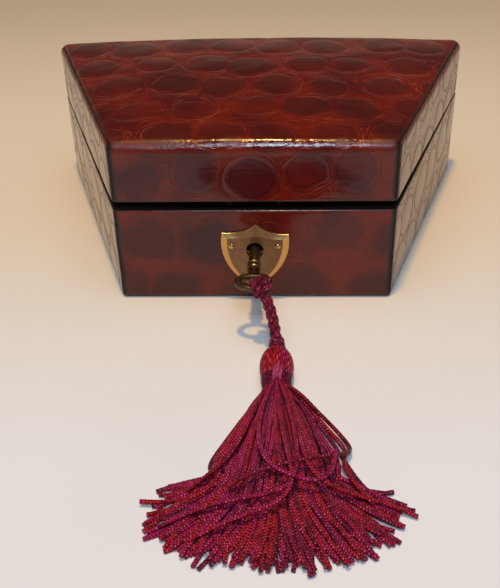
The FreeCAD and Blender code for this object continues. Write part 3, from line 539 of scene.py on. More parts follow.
def core_plan(x, y, roll):
    """The nearest point of the plan drawn in by the roll, for each point of a plan."""
    near = FRONT_Y + roll
    far = REAR_Y - roll
    corners = [(0, near), (half_width(near, roll), near), (half_width(far, roll), far), (0, far)]
    side = np.abs(x)
    core_x, core_y = side.copy(), y.copy()
    best = np.full(x.shape, np.inf)
    for (ax, ay), (bx, by) in zip(corners, corners[1:]):
        share = ((side - ax) * (bx - ax) + (y - ay) * (by - ay)) / ((bx - ax) ** 2 + (by - ay) ** 2)
        share = np.clip(share, 0, 1)
        gap = np.hypot(side - ax - share * (bx - ax), y - ay - share * (by - ay))
        core_x = np.where(gap < best, ax + share * (bx - ax), core_x)
        core_y = np.where(gap < best, ay + share * (by - ay), core_y)
        best = np.minimum(gap, best)
    inside = (y >= near) & (y <= far) & (side <= half_width(y, roll))
    core_x = np.where(inside, side, core_x)
    core_y = np.where(inside, y, core_y)
    return np.copysign(core_x, x), core_y


def rolled(sharp, roll, top, foot):
    """Points of a sharp box moved onto the rolled surface, with their outward directions."""
    roll = np.broadcast_to(roll, sharp.shape[:2])
    core_x, core_y = core_plan(sharp[..., 0], sharp[..., 1], roll)
    core_z = sharp[..., 2] if top is None else np.minimum(sharp[..., 2], top - roll)
    core_z = core_z if foot is None else np.maximum(core_z, foot + roll)
    core = np.stack((core_x, core_y, core_z), -1)
    outward = sharp - core
    outward /= np.linalg.norm(outward, axis=-1, keepdims=True)
    return core + roll[..., None] * outward, outward


def stations(length, pitch):
    """Places along a length, closer together at both ends where the skin turns in."""
    last = BORDER_STATIONS[-1]
    count = max(3, round((length - 2 * last) / pitch))
    middle = np.linspace(last, length - last, count)
    return np.concatenate((BORDER_STATIONS[:-1], middle, length - BORDER_STATIONS[-2::-1]))


print("skins are", SKIN / MM, "mm thick")

# %% A skin from its grid


def skin_mesh(name, sharp, hide, seam, rim, bold, roll, top=None, ajar=0.0, slope=None, crown=0.0, fold=0.0,
              foot=None, opening=None):
    """A closed sheet of leather from a grid on the sharp box. Slope lowers or lifts the inner side of the last row,
    crown lifts points above the box, fold marks where the hide crumples, and opening marks squares to leave out."""
    border = np.minimum(seam, rim)
    worn = np.minimum(seam, rim + RIM_WEAR)
    rows, columns = sharp.shape[:2]
    surface, outward = rolled(sharp, roll, top, foot)
    turned = np.clip(1 - border / TURN_IN, 0, 1)
    outer = surface - outward * (TURN_IN * (1 - np.sqrt(1 - turned ** 2)))[..., None]
    inner = surface - outward * SKIN
    outer[..., 2] += crown
    inner[..., 2] += crown
    if slope is not None:
        inner[-1, :, 2] += slope
    points = np.concatenate((outer.reshape(-1, 3), inner.reshape(-1, 3)))
    away = np.concatenate((outward.reshape(-1, 3), np.zeros((rows * columns, 3))))
    if ajar:
        turn = np.array(Matrix.Rotation(-ajar, 3, "X"))
        points = (points - np.array(HINGE)) @ turn.T + np.array(HINGE)
        away = away @ turn.T
    index = np.arange(rows * columns).reshape(rows, columns)
    quads = np.stack((index[:-1, :-1], index[:-1, 1:], index[1:, 1:], index[1:, :-1]), -1).reshape(-1, 4)
    if opening is not None:
        quads = quads[~opening.ravel()]
    back = quads[:, ::-1] + rows * columns
    edges = np.concatenate([quads[:, [k, (k + 1) % 4]] for k in range(4)]).tolist()
    shared = {(end, start) for start, end in edges}
    start, end = np.array([edge for edge in edges if tuple(edge) not in shared]).T
    walls = np.stack((end, start, start + rows * columns, end + rows * columns), -1)
    mesh = bpy.data.meshes.new(name)
    mesh.from_pydata(points.tolist(), [], np.concatenate((quads, back, walls)).tolist())
    laid = np.concatenate((hide, (worn / MM)[..., None]), -1).reshape(-1, 3)
    for title, kind, key, values in (("hide", "FLOAT_VECTOR", "vector", np.concatenate((laid, laid))),
                                     ("outward", "FLOAT_VECTOR", "vector", away),
                                     ("grain", "FLOAT", "value", np.tile(np.broadcast_to(bold, border.shape).ravel(), 2)),
                                     ("fold", "FLOAT", "value", np.tile(np.broadcast_to(fold, border.shape).ravel(), 2))):
        mesh.attributes.new(title, kind, "POINT").data.foreach_set(key, np.ascontiguousarray(values, "f").ravel())
    return mesh


def out_facing(mesh):
    """Turn a closed mesh's faces outwards, and drop points that no face uses."""
    work = bmesh.new()
    work.from_mesh(mesh)
    bmesh.ops.delete(work, geom=[point for point in work.verts if not point.link_faces], context="VERTS")
    bmesh.ops.recalc_face_normals(work, faces=work.faces)
    work.to_mesh(mesh)
    work.free()


def add_piece(name, mesh, body, slot, *nodes):
    """Put a finished mesh in the scene, riding on its body and standing for its nodes."""
    piece = bpy.data.objects.new(name, mesh)
    scene.collection.objects.link(piece)
    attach(piece, body)
    if nodes:
        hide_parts(*nodes)
    return piece


def add_skin(node, body, mesh):
    """Lift a skin into scales and put it in place of its node."""
    draft = bpy.data.objects.new(node + "_draft", mesh)
    scene.collection.objects.link(draft)
    out_facing(mesh)
    result = grown(draft, hide_relief, Dome=DOME_HEIGHT, Groove=GROOVE_DEPTH, Wave=WAVE_HEIGHT)
    bpy.data.objects.remove(draft)
    piece = add_piece(node + "_hide", result, body, "crocodile_leather", node)
    print(piece.name, len(result.polygons), "faces")
    return piece


def rear_limit(y, level, direction):
    """Where a side skin ends: level with the rim, but along the slope behind the hinge line."""
    sloped = HINGE.z + direction * (y - HINGE.y) * BEVEL_SLOPE
    return np.maximum(level, sloped) if direction > 0 else np.minimum(level, sloped)


# %% Skins of the base and the lid's sides
FOOT_ROLL = 1.6 * MM
FOOT_REACH = 5.0 * MM
KEY_HEIGHT = 22.0 * MM
KEYHOLE_ROUND = 3.75 * MM
KEYHOLE_SLOT = 1.9 * MM
KEYHOLE_DROP = 5.3 * MM


def wall_skin(y, bottom, top, pitch_scale, shift):
    """The skin of the front or the rear wall."""
    reach = float(half_width(y))
    across = stations(2 * reach, GRID_PITCH) - reach
    up = stations(top - bottom, GRID_PITCH) + bottom
    x, z = np.meshgrid(across, up)
    sharp = np.stack((x, np.full(x.shape, y), z), -1)
    hide = np.stack((x, z), -1) / MM * pitch_scale + np.array(shift)
    return sharp, hide, reach - np.abs(x), np.minimum(z - bottom, top - z)


def side_skin(side, limits, pitch_scale, shift):
    """The skin of a side wall, between two limits that may change along its depth."""
    along = stations(DEPTH / SPLAY_COS, GRID_PITCH) * SPLAY_COS + FRONT_Y
    low, high = limits(along)
    share = stations(40 * MM, GRID_PITCH * 40 * MM / float(np.max(high - low))) / (40 * MM)
    y, part = np.meshgrid(along, share)
    z = low + part * (high - low)
    sharp = np.stack((side * half_width(y), y, z), -1)
    ends = np.minimum(y - FRONT_Y, REAR_Y - y) / SPLAY_COS
    hide = np.stack(((y - FRONT_Y) / SPLAY_COS, z), -1) / MM * pitch_scale + np.array(shift)
    return sharp, hide, ends, np.minimum(z - low, high - z)


def base_roll(sharp):
    """The roll of the base's upright corners, tighter towards the foot."""
    return np.interp(sharp[..., 2] - FOOT, (FOOT_ROLL, FOOT_REACH), (FOOT_ROLL, BASE_ROLL))


def base_limits(y):
    return np.full(y.shape, FOOT), rear_limit(y, BASE_RIM, -1)


def lid_limits(y):
    return rear_limit(y, LID_RIM, 1), np.full(y.shape, LID_TOP)


rear_rim = float(rear_limit(np.array(REAR_Y), BASE_RIM, -1))
slope_rise = SKIN * BEVEL_SLOPE
front_grid = wall_skin(FRONT_Y, FOOT, BASE_RIM, 0.84, (3.0, 128.0))
middles = (front_grid[0][:-1, :-1] + front_grid[0][1:, 1:]) / 2
above_key = middles[..., 2] - KEY_HEIGHT
keyhole = np.hypot(middles[..., 0], above_key) < KEYHOLE_ROUND
keyhole |= (np.abs(middles[..., 0]) < KEYHOLE_SLOT) & (above_key < 0) & (above_key > -KEYHOLE_DROP)
mesh = skin_mesh("base_front_hide", *front_grid, 0.58, base_roll(front_grid[0]), foot=FOOT, opening=keyhole)
add_skin("base_front_leather", "case", mesh)
rear_grid = wall_skin(REAR_Y, FOOT, rear_rim, 0.95, (40.0, 330.0))
mesh = skin_mesh("base_rear_hide", *rear_grid, 0.7, base_roll(rear_grid[0]), slope=slope_rise, foot=FOOT)
add_skin("base_rear_leather", "case", mesh)
for title, side, shift in (("left", -1, 520.0), ("right", 1, 760.0)):
    base_grid = side_skin(side, base_limits, 1.0, (shift, 5.0))
    mesh = skin_mesh("base_" + title + "_hide", *base_grid, 2.0, base_roll(base_grid[0]), foot=FOOT)
    add_skin("base_" + title + "_leather", "case", mesh)
    lid_grid = side_skin(side, lid_limits, 1.0, (shift + 300, -30.0))
    mesh = skin_mesh("lid_" + title + "_hide", *lid_grid, 2.0, LID_ROLL, LID_TOP, LID_AJAR)
    add_skin("lid_" + title + "_leather", "lid", mesh)

# %% The skin over the lid's front, top and back
FRONT_ARCH = 0.6 * MM
REAR_ARCH = 1.9 * MM
TOP_DOME = 0.9 * MM
FOLD_ROLL = 5.0 * MM
FOLD_PLACE = 1.0 * MM
FOLD_REACH = 6.0 * MM


def wrap_skin():
    """One sheet that runs up the lid's front, over its top and down its back."""
    lid_rear_rim = float(rear_limit(np.array(REAR_Y), LID_RIM, 1))
    front_run = LID_TOP - LID_RIM
    rear_run = LID_TOP - lid_rear_rim
    run = stations(front_run + DEPTH + rear_run, TOP_PITCH)
    y = np.clip(FRONT_Y + run - front_run, FRONT_Y, REAR_Y)
    z = np.where(run < front_run, LID_RIM + run, LID_TOP)
    z = np.where(run > front_run + DEPTH, LID_TOP - (run - front_run - DEPTH), z)
    fine = stations(FRONT_WIDTH * 1.35, TOP_PITCH) / (FRONT_WIDTH * 1.35) * 2 - 1
    part, y = np.meshgrid(fine, y)
    z = np.repeat(z[:, None], part.shape[1], 1)
    x = part * half_width(y)
    seam = (1 - np.abs(part)) * half_width(y) * SPLAY_COS
    whole = np.repeat(run[:, None], part.shape[1], 1)
    rim = np.minimum(whole, run[-1] - whole)
    hide = np.stack((x, whole), -1) / MM
    upright = np.clip((front_run - whole) / (3 * MM), 0, 1) * 0.3
    fold = np.clip(1 - np.abs(whole - front_run - FOLD_PLACE) / FOLD_REACH, 0, 1)
    back = (y - FRONT_Y) / DEPTH
    arch = (FRONT_ARCH + (REAR_ARCH - FRONT_ARCH) * back) * (1 - part ** 2)
    dome = TOP_DOME * (1 - np.abs(part) ** 2.5) * (1 - np.abs(2 * back - 1) ** 2.5)
    raised = (arch + dome) * np.clip((z - LID_RIM) / front_run, 0, 1)
    sharp = np.stack((x, y, z), -1)
    roll = LID_ROLL + (FOLD_ROLL - LID_ROLL) * (1 - part ** 6) * np.clip(1 - back * 2, 0, 1)
    return skin_mesh("lid_wrap_hide", sharp, hide, seam, rim, 1.0 + upright, roll, LID_TOP, LID_AJAR, -slope_rise,
                     raised, fold)


add_skin("lid_wrap_leather", "lid", wrap_skin())

# %% [markdown]
# Yarn: the tassel is made of fine knitted cord, a chain of small stitches. Drawing each stitch would take millions of
# faces, so each strand is a tube along its own line, swelling a little at every stitch, and the finish draws the
# V-shaped stitches from two attributes: the length along the strand and the side of the tube.

# %% Yarn from lines
YARN_STITCH = 1.05 * MM
YARN_LUMP = 1.7 * MM


def yarn_tree(material):
    """Geometry Nodes that turn drawn lines into strands of yarn."""
    tree = bpy.data.node_groups.new("yarn", "GeometryNodeTree")
    tree.interface.new_socket("Lines", in_out="INPUT", socket_type="NodeSocketGeometry")
    for name in ("Stitch", "Swell", "Ring spacing"):
        tree.interface.new_socket(name, in_out="INPUT", socket_type="NodeSocketFloat")
    for name in ("Sides", "Seed"):
        tree.interface.new_socket(name, in_out="INPUT", socket_type="NodeSocketInt")
    tree.interface.new_socket("Yarn", in_out="OUTPUT", socket_type="NodeSocketGeometry")
    given = tree.nodes.new("NodeGroupInput")
    lines, stitch, swell, spacing, sides, seed = [Wire(tree, given.outputs[index]) for index in range(6)]
    run = add_node(tree, "GeometryNodeResampleCurve", {"Curve": lines, "Length": spacing}, mode="LENGTH")
    length = add_node(tree, "GeometryNodeSplineParameter", output="Length")
    strand = add_node(tree, "GeometryNodeCurveOfPoint", output="Curve Index")
    tone = add_node(tree, "FunctionNodeRandomValue", {"ID": strand, "Seed": seed}, 1, data_type="FLOAT")
    kept = run
    for name, value in (("yarn_length", length / MM), ("yarn_tone", tone)):
        kept = add_node(tree, "GeometryNodeStoreNamedAttribute", {"Geometry": kept, "Name": name, "Value": value},
                        data_type="FLOAT", domain="POINT")
    circle = add_node(tree, "GeometryNodeCurvePrimitiveCircle", {"Resolution": sides, "Radius": 1.0}, mode="RADIUS")
    circle = add_node(tree, "GeometryNodeStoreNamedAttribute",
                      {"Geometry": circle, "Name": "yarn_side", "Value": add_node(tree, "GeometryNodeInputPosition")},
                      data_type="FLOAT_VECTOR", domain="POINT")
    beat = (length / stitch * math.tau + tone * math.tau).maths("SINE")
    thickness = add_node(tree, "GeometryNodeInputRadius") * (1 + beat * swell)
    tube = add_node(tree, "GeometryNodeCurveToMesh",
                    {"Curve": kept, "Profile Curve": circle, "Scale": thickness, "Fill Caps": True})
    smooth = add_node(tree, "GeometryNodeSetShadeSmooth", {"Geometry": tube})
    real = add_node(tree, "GeometryNodeRealizeInstances", {"Geometry": smooth})
    dressed = add_node(tree, "GeometryNodeSetMaterial", {"Geometry": real, "Material": material})
    fill_socket(tree, tree.nodes.new("NodeGroupOutput").inputs[0], dressed)
    return tree


def line_curve(name, lines, order):
    """A curve object with one smooth line for each list of points and radii."""
    curve = bpy.data.curves.new(name, "CURVE")
    curve.dimensions = "3D"
    curve.resolution_u = 10
    for points, radii in lines:
        spline = curve.splines.new("NURBS")
        spline.points.add(len(points) - 1)
        for spot, place, radius in zip(spline.points, points, radii):
            spot.co = (*place, 1)
            spot.radius = radius
        spline.order_u = min(order, len(points))
        spline.use_endpoint_u = True
    holder = bpy.data.objects.new(name, curve)
    scene.collection.objects.link(holder)
    return holder


def yarn_mesh(name, lines, tree, spacing=0.8, sides=8, swell=0.06, stitch=YARN_LUMP, seed=1, order=4):
    holder = line_curve(name + "_lines", lines, order)
    values = {"Stitch": stitch, "Swell": swell, "Ring spacing": spacing * MM, "Sides": sides, "Seed": seed}
    mesh = grown(holder, tree, **values)
    mesh.name = name
    bpy.data.objects.remove(holder)
    return mesh


# %% Silk finish
SILK_DEEP = srgb(44, 2, 12)
SILK_CRIMSON = srgb(196, 12, 30)
SILK_MAGENTA = srgb(194, 20, 92)
SILK_DUSK = srgb(104, 6, 38)
SILK_LIGHT = srgb(240, 140, 172)
STITCH_COLUMNS = 4


def silk_finish(name, lightness=0.0, dusk=0.7, shade=0.75, pink=0.0, columns=STITCH_COLUMNS, pitch=YARN_STITCH,
                gloss=0.25):
    """Knitted silk: columns of small stitches round the strand, crimson to magenta or dusk from strand to strand, with
    painted shade between the stitches and painted highlights on their crests.
    """
    material, tree, shader = new_finish(name, Sheen_Weight=0.05, Sheen_Roughness=0.4, Specular_IOR_Level=gloss)
    fill_socket(tree, shader.inputs["Sheen Tint"], (1.0, 0.5, 0.7))
    length = attribute(tree, "yarn_length", "Fac")
    tone = attribute(tree, "yarn_tone", "Fac")
    side_x, side_y, _ = split(attribute(tree, "yarn_side"))
    around = (side_y.maths("ARCTAN2", side_x) / math.tau + 0.5) * columns
    column = around.maths("FLOOR")
    within = abs(around - column - 0.5) * 2
    beat = length * MM / pitch + column * 0.5 + within * 0.3 + tone * 7.0
    wave = (beat * math.tau).maths("COSINE") * 0.5 + 0.5
    raised = wave * (1 - within * within * 0.8)
    stitch = join(tree, (beat + 0.5).maths("FLOOR"), tone * 991.0, column)
    chance = add_node(tree, "ShaderNodeTexWhiteNoise", {"Vector": stitch})
    patches = noise(tree, object_place(tree), 75.0, 2.0)
    body = mix(tree, (tone * 0.9 + patches * 1.1 - 0.55 + pink).step(0.05, 0.85), SILK_CRIMSON, SILK_MAGENTA)
    body = mix(tree, ((tone * 5.3).maths("FRACT") + patches - 0.5).step(0.45, 0.95) * dusk, body, SILK_DUSK)
    # Painted shade: the colour falls to deep red between the stitches, where they shade each other.
    colour = mix(tree, 0.12 + 0.88 * raised.step(0.02, 0.62), SILK_DEEP, body)
    colour = mix(tree, chance.step(0.5, 1.0) * shade, colour, SILK_DEEP)
    # Painted highlight: pale pink on the crests of some stitches.
    painted_crest_highlight = raised.step(0.45, 0.95) * chance.step(0.4, 0.05) * (0.25 + 0.75 * patches)
    colour = mix(tree, painted_crest_highlight * 0.62, colour, SILK_LIGHT)
    if lightness > 0:
        colour = mix(tree, lightness, colour, SILK_LIGHT)
    elif lightness < 0:
        colour = mix(tree, -lightness, colour, SILK_DEEP)
    set_shader(tree, shader, Base_Color=colour, Roughness=0.5 - 0.2 * raised,
               Normal=bump(tree, raised, 0.25 * MM, 0.8))
    return material


silk = silk_finish("tassel_silk_finish", pink=0.08)
silk_yarn = yarn_tree(silk)
cord_yarn = yarn_tree(silk_finish("cord_silk_finish", -0.38, pink=0.25, columns=7, pitch=1.5 * MM))
head_yarn = yarn_tree(silk_finish("head_silk_finish", 0.0, 0.1, 0.55, -0.1, 5, 3.4 * MM))
binding_yarn = yarn_tree(silk_finish("binding_silk_finish", -0.35, 1.0, pink=0.4, gloss=0.08))
tuft_yarn = yarn_tree(silk_finish("tuft_silk_finish", 0.12, 0.2, 0.6, 0.6, 5, 2.4 * MM))
print("yarn stitches of", round(YARN_STITCH / MM, 2), "mm")

# %% [markdown]
# The cord: a short doubled cord is hitched round the front of the key's bow, hangs off it and lies down to the tassel's
# head, where it ends. Its route is one smooth spline through the part's own points, moved a little to the side that the
# photograph shows. Three plies wind round that spline, and two turns of the hitch sit on the bow. The hitch turns with
# the key, and the tassel lies still; the cord between them is put in the scene on neither body.

# %% Cord
TASSEL_X = 8.1
HEAD_OUT = 46.3
HEAD_HEIGHT = 5.8
HEAD_TILT = math.radians(6.0)
CORD_PLIES = 3
PLY_RADIUS = 0.98
PLY_OFFSET = 1.08
PLY_TURN = 9.6
HITCH_PLY = 0.9
HITCH_TURN = 6.0


def place(x, out, height):
    """A point given in millimetres: across, out from the case's front, and above the table."""
    return Vector((x * MM, FRONT_Y - out * MM, height * MM))


CORD_ROUTE = [place(2.6, 24.6, 22.9), place(4.6, 27.6, 19.4), place(6.3, 30.4, 15.4), place(7.4, 33.4, 11.0),
              place(7.9, 35.6, 8.25), place(8.1, 36.8, 6.8), place(8.1, 40.5, 6.4), place(8.1, 54.0, 5.0)]


def route_points(points):
    """Points read along the smooth spline through a cord's route."""
    holder = line_curve("route", [(points, [1.0] * len(points))], 3)
    mesh = bpy.data.meshes.new_from_object(holder)
    found = [vertex.co.copy() for vertex in mesh.vertices]
    bpy.data.objects.remove(holder)
    bpy.data.meshes.remove(mesh)
    return found


def wound_ply(points, offset, turn, start):
    """A line that winds round a route at an offset, one turn in a given length."""
    side = Vector((1, 0, 0))
    travelled = 0.0
    line = []
    for index, point in enumerate(points):
        before, after = points[max(0, index - 1)], points[min(len(points) - 1, index + 1)]
        along = (after - before).normalized()
        side = (side - along * side.dot(along)).normalized()
        over = along.cross(side)
        travelled += (point - before).length if index else 0.0
        angle = start + math.tau * travelled / turn
        line.append(point + (side * math.cos(angle) + over * math.sin(angle)) * offset)
    return line


def hitch_turn(x, lean, size):
    """One turn of the hitch round the front of the bow, leaning a little sideways."""
    line = []
    for step in range(33):
        angle = math.tau * (step / 32.0) * 0.94 + 2.2
        line.append(place(x + lean * math.sin(angle * 0.5), 24.45 + size * math.cos(angle), 22.0 + size * math.sin(angle)))
    return line


cord_line = route_points(CORD_ROUTE)
cord_lines = []
for k in range(CORD_PLIES):
    ply = wound_ply(cord_line, PLY_OFFSET * MM, PLY_TURN * MM, 0.4 + math.tau * k / CORD_PLIES)
    cord_lines.append((ply, [PLY_RADIUS * MM] * len(ply)))
hitch_lines = []
for x, lean, size in ((1.2, 1.3, 2.5), (3.9, -1.1, 2.7)):
    turn = hitch_turn(x, lean, size)
    for start in (0.0, math.pi):
        ply = wound_ply(turn, HITCH_PLY * MM * 0.92, HITCH_TURN * MM, start + x)
        hitch_lines.append((ply, [HITCH_PLY * MM] * len(ply)))
hitch_mesh = yarn_mesh("tassel_hitch_turns", hitch_lines, cord_yarn, 0.4, 10)
cord_mesh = yarn_mesh("tassel_cord_plies", cord_lines, cord_yarn, 0.45, 14)

# %% [markdown]
# The tassel's head is the same yarn: strands run from the collar knot over a soft core, and a thread binds them at the
# neck, with the thread's short ends laid over it. Strands laid along the bulb's outline, a coiled knot and a wound binding are each a handful of lines for the yarn
# tree. A plain turned core keeps light from showing through.

# %% Collar, head and binding
HEAD_STRANDS = 44
HEAD_OUTLINE = ((-7.9, 1.3), (-7.0, 2.9), (-5.4, 4.3), (-2.8, 5.4), (0.2, 5.8), (3.2, 5.55), (5.6, 4.9), (7.4, 4.25),
                (9.2, 3.9), (11.5, 3.8))
TUFT_STRANDS = 4
TUFT_OUTLINE = ((4.6, 4.9), (5.6, 5.65), (7.4, 5.3), (9.0, 5.05), (10.2, 4.2))
ACROSS = Vector((1, 0, 0))
HEAD_AXIS = Vector((0, -math.cos(HEAD_TILT), -math.sin(HEAD_TILT)))
HEAD_UP = Vector((0, -math.sin(HEAD_TILT), math.cos(HEAD_TILT)))


def head_point(along, radius, angle):
    """A point round the head's axis, in millimetres along it and out from it."""
    centre = place(TASSEL_X, HEAD_OUT, HEAD_HEIGHT) + HEAD_AXIS * along * MM
    return centre + (ACROSS * math.cos(angle) + HEAD_UP * math.sin(angle)) * radius * MM


def coil(first, last, first_radius, last_radius, turns):
    """A line wound round the head's axis."""
    steps = int(turns * 16)
    shares = [step / steps for step in range(steps + 1)]
    return [head_point(first + (last - first) * share, first_radius + (last_radius - first_radius) * share,
                       math.tau * turns * share) for share in shares]


def turned_core(name, outline, shrink, segments=32):
    """A closed form turned round the head's axis."""
    work = bmesh.new()
    rings = []
    for along, radius in outline:
        ring = [work.verts.new(head_point(along, radius * shrink, math.tau * k / segments)) for k in range(segments)]
        rings.append(ring)
    for lower, upper in zip(rings, rings[1:]):
        for k in range(segments):
            work.faces.new((lower[k], lower[(k + 1) % segments], upper[(k + 1) % segments], upper[k]))
    work.faces.new(rings[0])
    work.faces.new(rings[-1])
    bmesh.ops.recalc_face_normals(work, faces=work.faces)
    mesh = bpy.data.meshes.new(name)
    work.to_mesh(mesh)
    work.free()
    return mesh


def merged(name, first, second):
    """Two meshes as one."""
    work = bmesh.new()
    work.from_mesh(first)
    work.from_mesh(second)
    mesh = bpy.data.meshes.new(name)
    work.to_mesh(mesh)
    work.free()
    for material in first.materials:
        mesh.materials.append(material)
    mesh.shade_smooth()
    return mesh


head_lines = []
for k in range(HEAD_STRANDS):
    base = math.tau * k / HEAD_STRANDS
    line = [head_point(along, max(0.4, radius - 0.5), base + 0.02 * along) for along, radius in HEAD_OUTLINE]
    radii = [min(0.52, 0.12 + 0.08 * radius) * MM for _, radius in HEAD_OUTLINE]
    head_lines.append((line, radii))
head_strands = yarn_mesh("head_strands", head_lines, head_yarn, 0.5, 8, 0.08, seed=4)
head_mesh = merged("tassel_head_strands", head_strands, turned_core("head_core", HEAD_OUTLINE, 0.82))
knot_line = coil(-11.6, -8.1, 1.75, 2.15, 2.4)
knot_mesh = yarn_mesh("tassel_collar_knot", [(knot_line, [0.92 * MM] * len(knot_line))], cord_yarn, 0.4, 12, seed=9)
bind_line = coil(5.2, 11.8, 4.9, 4.2, 9.4)
bind_radii = np.interp(np.linspace(0, 1, len(bind_line)), (0, 0.3), (0.12, 0.42)) * MM
bind_mesh = yarn_mesh("tassel_binding_thread", [(bind_line, bind_radii.tolist())], binding_yarn, 0.4, 8, 0.04,
                      0.9 * MM, 5)
tuft_lines = []
for k in range(TUFT_STRANDS):
    angle = math.radians(82 + 8.0 * (k - (TUFT_STRANDS - 1) / 2) + 2.0 * math.sin(7.3 * k))
    shift = 0.9 * math.sin(5.1 * k)
    line = [head_point(along + shift, radius, angle + 0.012 * along) for along, radius in TUFT_OUTLINE]
    tuft_lines.append((line, [0.3 * MM, 0.5 * MM, 0.52 * MM, 0.48 * MM, 0.3 * MM]))
tuft_mesh = yarn_mesh("tassel_neck_tuft", tuft_lines, tuft_yarn, 0.4, 8, seed=21)
print("head of", HEAD_STRANDS, "strands,", len(head_mesh.polygons), "faces")

# %% [markdown]
# The skirt: some hundred and seventy strands leave the binding in a round bundle, fall to the table and fan out to ragged
# ends. Each strand's line has a few points: its place in the bundle, the side of the bell, and its own end on the fan.
# Strands are stacked by a share of the mound's height, so the upper ones lie on the lower ones. A few stray loops that
# cross over the top are listed one by one, where the photograph shows them.

# %% Skirt
SKIRT_STRANDS = 200
SKIRT_BUNDLES = 29
STRAND_RADIUS = 0.67
NECK_OUT = 57.0
FAN_OUT = 87.0
FAN_ANGLE = math.radians(67)
BELL = ((63.5, 8.4, 10.6), (71.5, 11.4, 10.4), (80.0, 15.6, 9.4), (89.0, 20.4, 7.6))
FAN_TOPS = ((0.45, 5.6), (0.75, 4.2), (1.0, 2.8))
strand_chance = random.Random(23)


def fan_reach(angle):
    """How far the fan's ends lie from its centre, at an angle from straight out."""
    share = abs(angle) / FAN_ANGLE
    return 37.8 + 6.4 * math.sin(min(1.0, share / 0.9) * math.pi / 2) ** 2 - 5.0 * max(0.0, share - 0.9) / 0.1


def skirt_strand(spread, level, bundle):
    """A strand of the skirt: spread from -1, left, to 1, right, and level from 0, on the table, to 1, on top. Its
    bundle gives it a lean and a lift that it shares with its neighbours."""
    lean, lift = bundle
    shake = strand_chance.gauss
    neck_x = 3.4 * spread * math.sqrt(max(0.05, 1 - (2 * level - 1) ** 2)) + shake(0, 0.2)
    neck_z = 4.6 + 2.9 * (2 * level - 1)
    points = [place(TASSEL_X + neck_x, NECK_OUT - 3.5, neck_z), place(TASSEL_X + neck_x * 1.06, NECK_OUT, neck_z)]
    drift = shake(0, 0.8)
    for out, half, top in BELL:
        side = spread * half * (0.62 + 0.38 * abs(spread)) + (drift + lean * 9.0) * (out - NECK_OUT) / 30
        crown = top * math.sqrt(max(0.06, 1 - 0.9 * spread * spread)) + lift
        height = STRAND_RADIUS + level * max(0.0, crown - 2 * STRAND_RADIUS)
        points.append(place(TASSEL_X + side + shake(0, 0.4), out + shake(0, 0.8), height))
    stray = 3.5 if strand_chance.random() < 0.16 else 1.0
    angle = FAN_ANGLE * spread * (0.9 + 0.1 * abs(spread)) + lean + shake(0, 0.06) * stray
    angle = max(-1.08 * FAN_ANGLE, min(1.08 * FAN_ANGLE, angle))
    reach = fan_reach(angle) * (1.0 - 0.17 * level * strand_chance.random()) + shake(0, 1.5)
    for share, top in FAN_TOPS:
        bend = angle + shake(0, 0.05)
        pile = level * (top + lift * (1.1 - share) - STRAND_RADIUS) * (0.7 + 0.3 * strand_chance.random())
        pile *= 1 - 0.75 * spread * spread
        points.append(place(TASSEL_X + reach * share * math.sin(bend), FAN_OUT + reach * share * math.cos(bend),
                            STRAND_RADIUS + max(0.0, pile)))
    radii = [0.44, 0.5, 0.62] + [STRAND_RADIUS] * (len(points) - 4) + [STRAND_RADIUS * 1.06]
    return points, [radius * MM for radius in radii]


